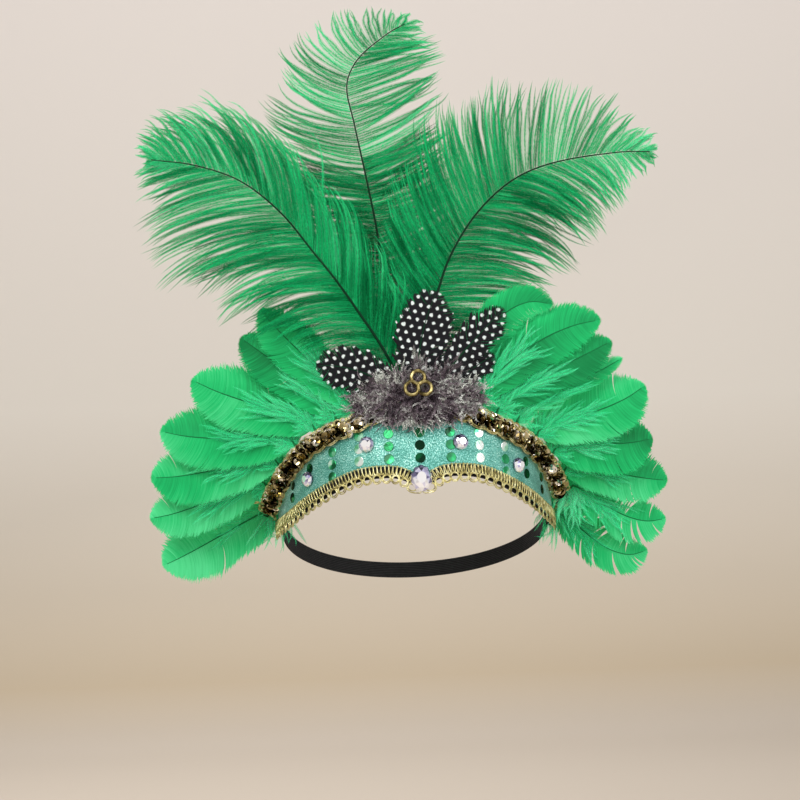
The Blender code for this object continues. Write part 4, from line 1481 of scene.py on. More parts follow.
@dataclass(frozen=True)
class Stone:
    """Flat-backed cut stone: a girdle, two rings of crown facets and a table."""

    name: str
    angle: float
    height: float
    half_width: float
    half_height: float
    rise: float
    sides: int = 10
    girdle_share: float = 0.24
    crown: tuple[tuple[float, float], ...] = ((0.78, 0.62), (0.44, 1.0))
    bow_share: float = 0.2
    braid_top: float = 1.7
    dot_rise: float = 0.4
    gap: float = 0.3
    painted_table_highlight: float = 0.93

    def seat(self, band: Band) -> float:
        """How far out from the cloth's face the stone's flat back stands."""
        below = self.braid_top if self.name == "centre_gem" else self.dot_rise
        return below + self.gap + self.bow_share * (self.half_width**2 / (2 * band.half_width))

    def build(self, band: Band, finish: Material) -> Object:
        """Cut the stone from a cylinder: its girdle, two rings of facets and the table.

        Args:
            band: The band that carries it.
            finish: Its material.

        Returns:
            The stone's object.
        """
        girdle = self.girdle_share
        bpy.ops.object.select_all(action="DESELECT")
        bpy.ops.mesh.primitive_cylinder_add(vertices=self.sides, depth=girdle, location=(0, 0, girdle / 2))
        made = bpy.context.object
        made.name = made.data.name = self.name
        bpy.ops.object.transform_apply(location=True, rotation=True, scale=True)
        bpy.ops.object.mode_set(mode="EDIT")
        bpy.ops.mesh.select_mode(type="FACE")
        bpy.ops.mesh.select_all(action="DESELECT")
        bpy.ops.object.mode_set(mode="OBJECT")
        max(made.data.polygons, key=lambda face: face.center.z).select = True
        bpy.ops.object.mode_set(mode="EDIT")
        size, high = 1.0, girdle
        for radius, level in self.crown:
            raised = girdle + (1 - girdle) * level
            bpy.ops.mesh.extrude_region_move(TRANSFORM_OT_translate={"value": (0, 0, raised - high)})
            centre = (0, 0, raised)
            bpy.ops.transform.resize(value=(radius / size, radius / size, 1), center_override=centre)
            bpy.ops.transform.rotate(value=math.pi / self.sides, orient_axis="Z", center_override=centre)
            size, high = radius, raised
        bpy.ops.mesh.select_all(action="SELECT")
        bpy.ops.mesh.quads_convert_to_tris(quad_method="SHORTEST_DIAGONAL", ngon_method="BEAUTY")
        bpy.ops.mesh.select_all(action="DESELECT")
        bpy.ops.object.mode_set(mode="OBJECT")
        self.paint_facet_reflections(made.data)
        scale = Matrix.Diagonal((self.half_width, self.half_height, self.rise, 1.0))
        place = band.frame(self.angle, self.height, self.seat(band))
        made.data.transform(Matrix.Scale(MM, 4) @ place @ scale)
        made.data.materials.append(finish)
        return made

    def paint_facet_reflections(self, mesh: Mesh) -> None:
        """Give each facet a painted reflection of its own, darker at the top and lighter below.

        Args:
            mesh: The stone, before it is scaled and set.
        """
        rng = np.random.default_rng(sum(map(ord, self.name)))
        middle = np.array([tuple(polygon.center) for polygon in mesh.polygons])
        table = np.array([polygon.normal.z for polygon in mesh.polygons]) > 0.99
        noise = np.zeros(len(middle))
        noise[np.lexsort(middle.round(4).T)] = rng.normal(0, 0.28, len(middle))
        # Painted reflections: facets darker at the top, lighter below and at random, with a painted highlight
        # on the table.
        values = np.where(table, self.painted_table_highlight, 0.52 - 0.5 * middle[:, 1] + noise)
        shades = mesh.attributes.new("facet", "FLOAT", "FACE")
        shades.data.foreach_set("value", np.clip(values, 0, 1).astype(np.float32))


@dataclass(frozen=True)
class Trefoil:
    """Three rings of twisted gold cord."""

    name: str = "cord_trefoil"
    height: float = 61.0
    out: float = 9.7
    ring: float = 3.9
    cord: float = 1.25
    spread: float = 4.45
    twists: int = 11
    twist_depth: float = 0.34

    def build(self, band: Band, finish: Material) -> Object:
        """Make the three rings from torus primitives.

        Args:
            band: The band that carries it.
            finish: Material of the gold cord.

        Returns:
            The trefoil's object.
        """
        place = band.frame(0.0, self.height, self.out)
        rings = []
        for k in range(3):
            bpy.ops.object.select_all(action="DESELECT")
            bpy.ops.mesh.primitive_torus_add(
                major_radius=self.ring, minor_radius=self.cord, major_segments=66, minor_segments=12
            )
            ring = bpy.context.object
            for vertex in ring.data.vertices:
                round_ring = math.atan2(vertex.co.y, vertex.co.x)
                middle = Vector((math.cos(round_ring), math.sin(round_ring), 0)) * self.ring
                away = vertex.co - middle
                round_cord = math.atan2(away.z, away.dot(middle.normalized()))
                ridge = abs(math.cos(round_cord * 1.5 + round_ring * self.twists * 1.5))
                vertex.co = middle + away * (1 - self.twist_depth + self.twist_depth * ridge)
            turn = Matrix.Rotation(math.radians(90 + 120 * k), 4, "Z")
            shift = Matrix.Translation((self.spread, 0, 0.25 * k))
            ring.data.transform(Matrix.Scale(MM, 4) @ place @ turn @ shift)
            rings.append(ring)
        bpy.ops.object.select_all(action="DESELECT")
        for ring in rings:
            ring.select_set(True)
        bpy.context.view_layer.objects.active = rings[0]
        bpy.ops.object.join()
        made = bpy.context.object
        made.name = made.data.name = self.name
        made.data.materials.append(finish)
        bpy.ops.object.shade_smooth()
        return made


class Nodes:
    """Short way to add nodes to one tree and link them."""

    def __init__(self, tree: NodeTree) -> None:
        """Keep the tree."""
        self.tree = tree

    def feed(self, node: Node, inputs: dict) -> None:
        """Give a node's inputs their values or links.

        Args:
            node: The node.
            inputs: Values or sockets for its inputs, by name or number.
        """
        for name, value in inputs.items():
            if isinstance(value, NodeSocket):
                self.tree.links.new(value, node.inputs[name])
            else:
                node.inputs[name].default_value = value

    def add(self, kind: str, inputs: dict | None = None, **settings: object) -> Node:
        """Add a node.

        Args:
            kind: The node's type, without its ShaderNode prefix.
            inputs: Values or sockets for its inputs, by name or number.
            settings: Its own settings.

        Returns:
            The node.
        """
        node = self.tree.nodes.new("ShaderNode" + kind)
        for name, value in settings.items():
            setattr(node, name, value)
        self.feed(node, inputs or {})
        return node

    def math(self, operation: str, *values: object) -> NodeSocket:
        """Result of a Math node that takes numbers or sockets."""
        return self.add("Math", dict(enumerate(values)), operation=operation).outputs[0]

    def vector(self, operation: str, inputs: dict) -> NodeSocket:
        """Result of a Vector Math node."""
        return self.add("VectorMath", inputs, operation=operation).outputs[0]


def new_group(name: str, numbers: Sequence[str]) -> tuple[Nodes, dict, Node]:
    """Start a shader node group that turns a vector and some numbers into one value.

    Args:
        name: Name of the group.
        numbers: Names of the numbers that it takes.

    Returns:
        Its node helper, its inputs by name and its output node.
    """
    tree = bpy.data.node_groups.new(name, "ShaderNodeTree")
    tree.interface.new_socket("Vector", in_out="INPUT", socket_type="NodeSocketVector")
    for label in numbers:
        tree.interface.new_socket(label, in_out="INPUT", socket_type="NodeSocketFloat")
    tree.interface.new_socket("Value", in_out="OUTPUT", socket_type="NodeSocketFloat")
    source = tree.nodes.new("NodeGroupInput").outputs
    return Nodes(tree), source, tree.nodes.new("NodeGroupOutput")


class Effects:
    """Node groups that several finishes share."""

    def __init__(self) -> None:
        """Build the groups."""
        self.patches = self.make_patches()
        self.streaks = self.make_streaks()

    def make_patches(self) -> NodeTree:
        """Soft uneven patches of shade.

        Returns:
            A group that gives a value about 0.5 that changes over the surface.
        """
        nodes, source, result = new_group("uneven_patches", ["Scale", "Strength"])
        noise = nodes.add("TexNoise", {"Vector": source["Vector"], "Scale": source["Scale"]})
        away = nodes.math("SUBTRACT", noise.outputs[0], 0.5)
        scaled = nodes.math("MULTIPLY", away, source["Strength"])
        nodes.feed(result, {"Value": nodes.math("ADD", scaled, 0.5)})
        return nodes.tree

    def make_streaks(self) -> NodeTree:
        """Fine lines that run along the UV map's first direction.

        Returns:
            A group that gives a height from 0 to 1.
        """
        nodes, source, result = new_group("fine_streaks", ["Across", "Along"])
        split = nodes.add("SeparateXYZ", {0: source["Vector"]}).outputs
        u = nodes.math("MULTIPLY", split[0], source["Along"])
        v = nodes.math("MULTIPLY", split[1], source["Across"])
        place = nodes.add("CombineXYZ", {0: u, 1: v}).outputs[0]
        noise = nodes.add("TexNoise", {"Vector": place, "Scale": 1.0, "Detail": 2.0})
        nodes.feed(result, {"Value": noise.outputs[0]})
        return nodes.tree


class MaterialNodes(Nodes):
    """Nodes of one material, with its shader and what most finishes read."""

    def __init__(self, name: str, effects: Effects | None = None) -> None:
        """Start the material.

        Args:
            name: Name of the finish.
            effects: The shared node groups.
        """
        self.made = bpy.data.materials.new(name)
        self.made.use_nodes = True
        super().__init__(self.made.node_tree)
        self.shader = self.tree.nodes["Principled BSDF"]
        self.effects = effects

    def set(self, inputs: dict) -> None:
        """Give the shader values or links."""
        self.feed(self.shader, inputs)

    def uv(self) -> NodeSocket:
        """The piece's own UV map, in millimetres."""
        return self.add("UVMap", uv_map="UVMap").outputs["UV"]

    def place(self) -> NodeSocket:
        """Place in the piece's own space, in metres."""
        return self.add("TexCoord").outputs["Object"]

    def kept(self, label: str) -> NodeSocket:
        """A shade that the mesh keeps."""
        return self.add("Attribute", attribute_name=label).outputs["Fac"]

    def patchy(
        self, shade: NodeSocket, where: NodeSocket, scale: float, strength: float, less: float = 0.5
    ) -> NodeSocket:
        """Shade with soft uneven patches over it.

        Args:
            shade: The shade.
            where: Coordinates of the patches.
            scale: Their scale.
            strength: How strong they are.
            less: What is taken off their value.

        Returns:
            The new shade.
        """
        inputs = {"Vector": where, "Scale": scale, "Strength": strength}
        patch = self.add("Group", inputs, node_tree=self.effects.patches).outputs[0]
        return self.math("ADD", shade, self.math("SUBTRACT", patch, less))

    def ramp(self, factor: NodeSocket, stops: Stops) -> None:
        """Colour the shader along a ramp.

        Args:
            factor: Place on the ramp.
            stops: Places and their colours.
        """
        node = self.add("ValToRGB", {"Fac": factor})
        bar = node.color_ramp.elements
        while len(bar) < len(stops):
            bar.new(1.0)
        for element, (place, colour) in zip(bar, stops):
            element.position = place
            element.color = (*colour, 1.0)
        self.set({"Base Color": node.outputs["Color"]})

    def bump(self, height: NodeSocket, strength: float, distance: float, **settings: object) -> None:
        """Give the shader a bumpy surface."""
        inputs = {"Height": height, "Strength": strength, "Distance": distance}
        self.set({"Normal": self.add("Bump", inputs, **settings).outputs[0]})


class Finish:
    """A finish that becomes one material, dressed by its subclass."""

    name: str

    def make(self, effects: Effects) -> Material:
        """Build the material.

        Args:
            effects: The shared node groups.

        Returns:
            The material.
        """
        look = MaterialNodes(self.name, effects)
        self.dress(look)
        return look.made

    def dress(self, look: MaterialNodes) -> None:
        """Give the material its values and nodes."""
        raise NotImplementedError


@dataclass(frozen=True)
class FeatherFinish(Finish):
    """Dyed barbs: three shades by each strand's tint, which carries the dye's tone and painted shade, over
    soft patches.
    """

    name: str
    dark: Colour
    middle: Colour
    light: Colour
    roughness: float = 0.8
    specular: float = 0.1
    patch_scale: float = 26.0
    patch_strength: float = 0.5
    streaks: float = 0.0
    frayed: float = 0.0
    cover: float = 1.0

    def dress(self, look: MaterialNodes) -> None:
        """Shade the barbs, and fray the edge of a vane with streaks.

        Args:
            look: The material's nodes.
        """
        look.set({"Roughness": self.roughness, "Specular IOR Level": self.specular, "Alpha": self.cover})
        shade = look.patchy(look.kept("tint"), look.place(), self.patch_scale, self.patch_strength)
        if self.streaks:
            inputs = {"Vector": look.uv(), "Across": 2.2, "Along": 0.05}
            lines = look.add("Group", inputs, node_tree=look.effects.streaks).outputs[0]
            faint = look.math("MULTIPLY", look.math("SUBTRACT", lines, 0.5), self.streaks)
            shade = look.math("ADD", shade, faint)
            look.bump(lines, 0.3, 0.0002)
            left = look.math("SUBTRACT", lines, look.math("MULTIPLY", look.kept("soft"), self.frayed))
            alpha = look.add("MapRange", {"Value": left, "From Min": 0.02, "From Max": 0.10}, clamp=True)
            look.set({"Alpha": alpha.outputs[0]})
        look.ramp(shade, ((0.05, self.dark), (0.5, self.middle), (0.98, self.light)))


@dataclass(frozen=True)
class SpottedFinish(Finish):
    """Black vane with rows of white dots, read from the vane's UV map in millimetres."""

    name: str = "black_spotted_vane"
    dark: Colour = (0.004, 0.004, 0.006)
    white: Colour = (0.62, 0.68, 0.67)
    pitch_across: float = 4.9
    pitch_along: float = 4.4
    dot: float = 1.0
    soft: float = 0.35
    wobble: float = 1.0

    def dress(self, look: MaterialNodes) -> None:
        """Lay the dots in staggered rows that noise moves a little.

        Args:
            look: The material's nodes.
        """
        look.set({"Roughness": 0.6, "Specular IOR Level": 0.15})
        uv = look.uv()
        noise = look.add("TexNoise", {"Vector": uv, "Scale": 0.45}).outputs["Color"]
        moved = look.vector("SUBTRACT", {0: noise, 1: (0.5, 0.5, 0.5)})
        shift = look.vector("SCALE", {0: moved, "Scale": self.wobble * 2})
        split = look.add("SeparateXYZ", {0: look.vector("ADD", {0: uv, 1: shift})}).outputs
        v = look.math("DIVIDE", split[1], self.pitch_along)
        odd = look.math("MULTIPLY", look.math("PINGPONG", look.math("FLOOR", v), 1.0), 0.5)
        u = look.math("ADD", look.math("DIVIDE", split[0], self.pitch_across), odd)
        squares = []
        for place, pitch in ((u, self.pitch_across), (v, self.pitch_along)):
            away = look.math("SUBTRACT", look.math("FRACT", place), 0.5)
            squares.append(look.math("POWER", look.math("MULTIPLY", away, pitch), 2.0))
        away = look.math("SQRT", look.math("ADD", *squares))
        limits = {"From Min": self.dot + self.soft / 2, "From Max": self.dot - self.soft / 2}
        mask = look.add("MapRange", {"Value": away} | limits, clamp=True)
        look.ramp(mask.outputs[0], ((0.0, self.dark), (1.0, self.white)))


@dataclass(frozen=True)
class KnitFinish(Finish):
    """Metallic knit: tiny stitches with bright flecks between darker ones."""

    name: str = "sea_green_knit"
    dark: Colour = (0.030, 0.220, 0.170)
    middle: Colour = (0.140, 0.470, 0.400)
    bright: Colour = (0.620, 0.930, 0.860)
    stitch: float = 1.15

    def dress(self, look: MaterialNodes) -> None:
        """Shade, roughen and raise the stitches.

        Args:
            look: The material's nodes.
        """
        look.set({"Metallic": 0.35, "Sheen Weight": 0.2})
        uv = look.uv()
        cells = look.add("TexVoronoi", {"Vector": uv, "Scale": self.stitch, "Randomness": 0.65})
        deep = cells.outputs["Distance"]
        inputs = {"Vector": uv, "Scale": 1.15, "Detail": 3.0, "Roughness": 0.6}
        fleck = look.add("TexNoise", inputs).outputs[0]
        shade = look.patchy(fleck, uv, 0.09, 0.35)
        # Stitches are painted darker towards their edges, where they sink: painted shade between the
        # stitches.
        shade = look.math("SUBTRACT", shade, look.math("MULTIPLY", deep, 0.22))
        look.ramp(shade, ((0.28, self.dark), (0.45, self.middle), (0.62, self.bright)))
        rough = look.add("MapRange", {"Value": fleck, "To Min": 0.55, "To Max": 0.28})
        look.set({"Roughness": rough.outputs[0]})
        look.bump(deep, 0.8, 0.00025, invert=True)


@dataclass(frozen=True)
class ThreadFinish(Finish):
    """Metallic thread: twisted strands along the tube."""

    name: str = "pale_gold_thread"
    dark: Colour = (0.12, 0.085, 0.025)
    middle: Colour = (0.64, 0.57, 0.24)
    bright: Colour = (1.0, 0.98, 0.68)
    twist: float = 1.7

    def dress(self, look: MaterialNodes) -> None:
        """Wind ridges round the tube, painted lighter on their tops and darker in the grooves: painted
        highlight and painted shade.

        Args:
            look: The material's nodes.
        """
        look.set({"Metallic": 0.9, "Roughness": 0.3})
        split = look.add("SeparateXYZ", {0: look.uv()}).outputs
        turn = look.math("ADD", look.math("MULTIPLY", split[1], self.twist), split[0])
        ridge = look.math("PINGPONG", turn, 0.5)
        shade = look.patchy(look.math("MULTIPLY", ridge, 0.5), look.place(), 300.0, 1.3, 0.2)
        look.ramp(shade, ((0.1, self.dark), (0.42, self.middle), (0.85, self.bright)))
        look.bump(ridge, 0.6, 0.0002)


@dataclass(frozen=True)
class FoilFinish(Finish):
    """Mirror foil in several shades, one to a piece by its tint, which holds the foil's own shades and
    painted reflections.
    """

    name: str
    shades: Stops
    roughness: float = 0.16
    metallic: float = 1.0
    wrinkle: float = 0.25

    def dress(self, look: MaterialNodes) -> None:
        """Shade the foil and wrinkle it.

        Args:
            look: The material's nodes.
        """
        look.set({"Metallic": self.metallic, "Roughness": self.roughness})
        where = look.place()
        look.ramp(look.patchy(look.kept("tint"), where, 420.0, 0.12), self.shades)
        noise = look.add("TexNoise", {"Vector": where, "Scale": 500.0})
        look.bump(noise.outputs[0], self.wrinkle, 0.0002)


@dataclass(frozen=True)
class GemFinish(Finish):
    """Cut glass with a foil back, whose facets carry painted reflections, a shade each."""

    name: str = "lilac_crystal"
    # From dark facets to white ones: the white end is a painted highlight.
    shades: Stops = (
        (0.08, (0.02, 0.02, 0.05)), (0.32, (0.17, 0.15, 0.30)),
        (0.58, (0.58, 0.56, 0.80)), (0.80, (1.0, 0.98, 1.0)),
    )

    def dress(self, look: MaterialNodes) -> None:
        """Colour each facet by its painted reflection, with a fine broken painted glitter over it.

        Args:
            look: The material's nodes.
        """
        look.set({"Metallic": 0.55, "Roughness": 0.05, "IOR": 1.6})
        look.set({"Coat Weight": 1.0, "Coat Roughness": 0.02})
        cells = look.add("TexVoronoi", {"Vector": look.place(), "Scale": 620.0}).outputs["Color"]
        painted_glitter = look.math("MULTIPLY", look.add("SeparateXYZ", {0: cells}).outputs[0], 0.15)
        look.ramp(look.math("ADD", look.math("MULTIPLY", look.kept("facet"), 0.85), painted_glitter), self.shades)


class Pattern(Enum):
    """Surface of a black textile."""

    FELT = "felt"
    RIBBED = "ribbed"


@dataclass(frozen=True)
class BlackFinish(Finish):
    """Black textile, felted or ribbed."""

    name: str
    pattern: Pattern
    dark: Colour = (0.006, 0.006, 0.007)
    light: Colour = (0.030, 0.030, 0.033)

    def dress(self, look: MaterialNodes) -> None:
        """Felt or rib the surface.

        Args:
            look: The material's nodes.
        """
        look.set({"Roughness": 0.85, "Specular IOR Level": 0.2})
        uv = look.uv()
        if self.pattern is Pattern.FELT:
            height = look.add("TexNoise", {"Vector": uv, "Scale": 1.4, "Detail": 4.0}).outputs[0]
        else:
            split = look.add("SeparateXYZ", {0: uv}).outputs
            rib = look.math("MULTIPLY", look.math("PINGPONG", split[1], 0.55), 1.3)
            stitch = look.math("MULTIPLY", look.math("PINGPONG", split[0], 0.4), 0.6)
            height = look.math("ADD", rib, stitch)
        # Both patterns colour the surface by its height, darker in the hollows: painted shade.
        look.ramp(look.patchy(height, uv, 0.3, 0.4), ((0.25, self.dark), (0.75, self.light)))
        look.bump(height, 0.8, 0.0003)


PLUME_BARBS = FeatherFinish(
    "emerald_plume_barbs", (0.001, 0.130, 0.036), (0.008, 0.420, 0.130), (0.100, 0.780, 0.350), specular=0.05
)
PLUME_HAZE = FeatherFinish(
    "emerald_plume_haze", (0.002, 0.160, 0.046), (0.025, 0.480, 0.170), (0.120, 0.740, 0.360), 0.9, 0.0,
    cover=0.27,
)
FAN_VANE = FeatherFinish(
    "bright_green_vane", (0.003, 0.200, 0.055), (0.010, 0.450, 0.130), (0.080, 0.640, 0.260), 0.55, 0.12,
    patch_scale=40.0, patch_strength=0.6, streaks=0.5, frayed=0.66,
)
FAN_DOWN = FeatherFinish(
    "pale_green_down", (0.020, 0.480, 0.170), (0.040, 0.680, 0.280), (0.150, 0.820, 0.440), patch_strength=0.3
)
FAN_HAZE = FeatherFinish(
    "pale_green_haze", (0.020, 0.480, 0.170), (0.050, 0.680, 0.280), (0.160, 0.800, 0.420), 0.9, 0.0,
    patch_strength=0.3, cover=0.4,
)
DARK_QUILL = FeatherFinish(
    "dark_green_quill", (0.001, 0.014, 0.006), (0.002, 0.030, 0.012), (0.015, 0.120, 0.045), 0.6
)
FAN_QUILL = FeatherFinish(
    "green_fan_quill", (0.003, 0.060, 0.020), (0.006, 0.150, 0.045), (0.020, 0.300, 0.100), 0.6
)
GREY_DOWN = FeatherFinish(
    "smoky_down", (0.022, 0.014, 0.020), (0.180, 0.140, 0.165), (0.620, 0.650, 0.600), 0.85,
    patch_scale=95.0, patch_strength=1.9,
)
GREY_HAZE = FeatherFinish(
    "smoky_haze", (0.060, 0.045, 0.055), (0.200, 0.170, 0.180), (0.500, 0.540, 0.480), 0.9, 0.0,
    patch_scale=95.0, patch_strength=1.5, cover=0.3,
)
# The trefoil's cord: the same gold thread, painted darker as a painted shadow over it.
SHADED_CORD = ThreadFinish("gold_cord_painted_shade", (0.02, 0.015, 0.006), (0.22, 0.17, 0.06), (0.85, 0.72, 0.34), 0.9)
# The dots' foil: its deep greens are the foil's own colour, and its pale end is for their painted
# reflections.
DOT_FOIL = FoilFinish(
    "green_foil",
    (
        (0.0, (0.003, 0.035, 0.014)), (0.35, (0.008, 0.170, 0.055)), (0.6, (0.040, 0.460, 0.180)),
        (0.85, (0.550, 0.930, 0.720)), (1.0, (0.900, 1.000, 0.950)),
    ),
    metallic=0.75,
)
# From dark bronze to pale gold; the near-white end is for the sequins' painted reflections.
SEQUIN_FOIL = FoilFinish(
    "antique_sequins",
    (
        (0.0, (0.035, 0.026, 0.012)), (0.28, (0.160, 0.120, 0.050)), (0.55, (0.450, 0.380, 0.180)),
        (0.8, (0.800, 0.720, 0.500)), (1.0, (1.000, 0.980, 0.950)),
    ),
    roughness=0.17,
)


@dataclass(frozen=True)
class Studio:
    """Pale sweep, soft lights and the camera at the photograph's angle."""

    target: Point = (-7.0, 0.0, 54.2)
    azimuth: float = -2.4
    roll: float = -1.85
    distance: float = 1700.0
    frame_width: float = 496.0
    sensor: float = 36.0
    floor_height: float = -330.0
    floor_front: float = -2600.0
    floor_back: float = 1330.0
    floor_half: float = 3200.0
    sweep_radius: float = 320.0
    wall_top: float = 3000.0
    # The backdrop's colour by height: darker along the floor and the bend, lighter up the wall: painted shade
    # and painted light.
    backdrop_painted_light: Stops = (
        (0.03, (0.446, 0.393, 0.339)), (0.09, (0.436, 0.360, 0.268)),
        (0.45, (0.658, 0.620, 0.571)), (1.00, (0.715, 0.667, 0.638)),
    )

    def camera(self) -> None:
        """Add the camera at the photograph's angle."""
        turn = math.radians(self.azimuth)
        back = Vector((math.sin(turn), -math.cos(turn), 0))
        right = Vector((math.cos(turn), math.sin(turn), 0))
        up = Vector((0, 0, 1))
        tilt = math.radians(self.roll)
        rolled = right * math.cos(tilt) + up * math.sin(tilt)
        over = up * math.cos(tilt) - right * math.sin(tilt)
        lens = bpy.data.cameras.new("photo_camera")
        lens.sensor_width = self.sensor
        lens.lens = self.sensor * self.distance / self.frame_width
        lens.clip_end = 20.0
        made = bpy.data.objects.new("photo_camera", lens)
        place = (Vector(self.target) + back * self.distance) * MM
        made.matrix_world = Matrix.Translation(place) @ Matrix((rolled, over, back)).transposed().to_4x4()
        bpy.context.scene.collection.objects.link(made)
        bpy.context.scene.camera = made

    def sweep(self) -> None:
        """Add the floor, which curves up behind."""
        bpy.ops.object.select_all(action="DESELECT")
        bpy.ops.mesh.primitive_grid_add(x_subdivisions=2, y_subdivisions=60, size=2.0)
        made = bpy.context.object
        made.name = made.data.name = "pale_floor"
        flat = self.floor_back - self.floor_front
        bend = self.sweep_radius * math.pi / 2
        rise = self.wall_top - self.sweep_radius
        for vertex in made.data.vertices:
            along = (vertex.co.y + 1) / 2 * (flat + bend + rise)
            turn = min(max(along - flat, 0) / self.sweep_radius, math.pi / 2)
            y = self.floor_front + min(along, flat) + self.sweep_radius * math.sin(turn)
            z = self.floor_height + self.sweep_radius * (1 - math.cos(turn)) + max(along - flat - bend, 0)
            vertex.co = Vector((vertex.co.x * self.floor_half, y, z)) * MM
        look = MaterialNodes("pale_backdrop")
        look.set({"Roughness": 0.9, "Specular IOR Level": 0.1})
        # Painted shade low down and painted light higher up, by height.
        height = look.add("SeparateXYZ", {0: look.place()}).outputs[2]
        place = look.add("MapRange", {"Value": height, "From Min": -0.35, "From Max": 0.55}, clamp=True)
        look.ramp(place.outputs[0], self.backdrop_painted_light)
        made.data.materials.append(look.made)
        bpy.ops.object.shade_smooth()

    def light(self, name: str, place: Point, size: float, power: float, colour: Colour) -> None:
        """Add one soft light that faces the headband.

        Args:
            name: Name of the light.
            place: Where it stands, in millimetres.
            size: Its side, in millimetres.
            power: Its power in watts.
            colour: Its colour.
        """
        lamp = bpy.data.lights.new(name, "AREA")
        lamp.size = size * MM
        lamp.energy = power
        lamp.color = colour
        made = bpy.data.objects.new(name, lamp)
        aim = Vector((0, 0, 100)) - Vector(place)
        made.rotation_euler = aim.to_track_quat("-Z", "Y").to_euler()
        made.location = Vector(place) * MM
        bpy.context.scene.collection.objects.link(made)

    def build(self) -> None:
        """Set the stage."""
        self.camera()
        self.sweep()
        self.light("key_light", (-900, -1700, 1300), 1100, 34, (1.0, 0.98, 0.95))
        self.light("fill_light", (1300, -1500, 500), 1300, 20, (0.97, 0.98, 1.0))
        self.light("top_light", (100, 300, 1500), 900, 14, (1.0, 1.0, 1.0))
        self.light("back_light", (-300, 1300, 700), 900, 9, (1.0, 0.97, 0.92))
        world = bpy.data.worlds.new("soft_room")
        world.use_nodes = True
        background = world.node_tree.nodes["Background"]
        background.inputs["Color"].default_value = (0.96, 0.94, 0.90, 1.0)
        background.inputs["Strength"].default_value = 0.55
        bpy.context.scene.world = world
        bpy.context.scene.view_settings.view_transform = "Standard"


PLUMES = (
    Plume(
        name="ostrich_plume_left", angle=-6.2,
        shaft=(
            (-19, -80, 84), (-32, -81.5, 105), (-46, -84, 126), (-59, -87, 143), (-77, -90, 166),
            (-100, -94, 185), (-126, -99, 194.5), (-151, -104, 198),
        ),
        vane_start=0.14,
        left=(
            (0, 165, 190, 30, 0), (0.15, 172, 206, 50, -1), (0.3, 174, 212, 68, -4), (0.45, 176, 212, 79, -8),
            (0.6, 180, 208, 77, -10), (0.75, 186, 203, 60, -8), (0.9, 190, 198, 27, -4), (1, 190, 196, 6, 0),
        ),
        right=(
            (0, 80, 72, 42, 0), (0.15, 88, 84, 60, 0), (0.3, 90, 92, 66, -1), (0.45, 93, 102, 67, -2),
            (0.6, 98, 116, 63, -3), (0.75, 105, 130, 52, -3), (0.9, 118, 140, 33, -2), (1, 150, 150, 9, 0),
        ),
        hook_left=10.0, hook_right=42.0, seed=11,
        layers=(
            BarbLayer(True, 175),
            BarbLayer(False, 165, tip_light=0.22),
            BarbLayer(True, 90, 0.85, 5.0, tint=0.3, until=0.55, loose=7.0),
            BarbLayer(False, 120, 0.93, 4.0, 0.3, 0.34, loose=6.0),
        ),
    ),
    Plume(
        name="ostrich_plume_centre", angle=0.0,
        shaft=(
            (-4, -75.5, 78), (-9, -68, 95), (-14.6, -63, 112), (-20.5, -58, 159.5), (-25.2, -57, 187),
            (-31.4, -58, 220), (-35.3, -61, 243), (-28.5, -66, 257.7), (-11.5, -73, 271), (-0.3, -77, 276.7),
        ),
        vane_start=0.20,
        left=(
            (0, 168, 172, 26, 3), (0.25, 174, 168, 48, 6), (0.4, 174, 160, 53, 9), (0.5, 174, 152, 57, 9),
            (0.6, 172, 142, 57, 9), (0.7, 168, 130, 50, 8), (0.78, 158, 118, 40, 6), (0.86, 138, 102, 27, 4),
            (0.93, 104, 80, 16, 2), (1, 48, 40, 7, 0),
        ),
        right=(
            (0, 8, 12, 26, 3), (0.25, 10, 26, 48, 6), (0.4, 12, 36, 52, 9), (0.5, 14, 42, 56, 9),
            (0.6, 16, 42, 60, 9), (0.7, 18, 36, 60, 9), (0.78, 14, 24, 55, 7), (0.86, 6, 6, 42, 4),
            (0.93, -2, -12, 25, 2), (1, 12, 4, 9, 0),
        ),
        hook_left=-10.0, hook_right=-6.0, seed=22,
        layers=(
            BarbLayer(True, 165),
            BarbLayer(False, 165, tip_light=0.15),
            BarbLayer(True, 120, 0.9, 4.0, 0.0, 0.22, 0.5, 8.0),
            BarbLayer(False, 140, 0.9, 4.0, 0.0, 0.22, 0.55, 10.0),
        ),
    ),
    Plume(
        name="ostrich_plume_right", angle=6.2,
        shaft=(
            (8.5, -75, 80), (10, -72, 100), (15, -70, 119), (23.7, -70, 140.6), (40.2, -71, 164.8),
            (61.6, -74, 183), (85.6, -78, 192), (123.4, -87, 196.3), (141, -91, 195.8),
        ),
        vane_start=0.17,
        left=(
            (0, 132, 118, 44, 0), (0.2, 128, 110, 64, -1), (0.3, 122, 104, 69, -2), (0.4, 116, 96, 69, -3),
            (0.5, 108, 92, 64, -3), (0.6, 98, 84, 60, -3), (0.7, 84, 72, 53, -3), (0.8, 66, 54, 42, -2),
            (0.9, 46, 36, 25, -1), (1, 14, 8, 6, 0),
        ),
        right=(
            (0, -5, 0, 26, 0), (0.2, 2, -14, 57, -1), (0.3, 2, -24, 64, -2), (0.4, 0, -34, 67, -3),
            (0.5, -4, -44, 64, -5), (0.6, -12, -50, 56, -5), (0.7, -22, -56, 49, -4), (0.8, -34, -60, 39, -3),
            (0.9, -44, -62, 22, -2), (1, -14, -20, 6, 0),
        ),
        hook_left=-8.0, hook_right=-10.0, seed=33,
        layers=(
            BarbLayer(True, 175, tip_light=0.15),
            BarbLayer(False, 175),
            BarbLayer(True, 130, 0.85, 4.0, 0.0, 0.24, 0.6, 8.0),
            BarbLayer(False, 110, 0.85, 4.0, 0.0, 0.28, 0.65, 7.0),
        ),
    ),
)

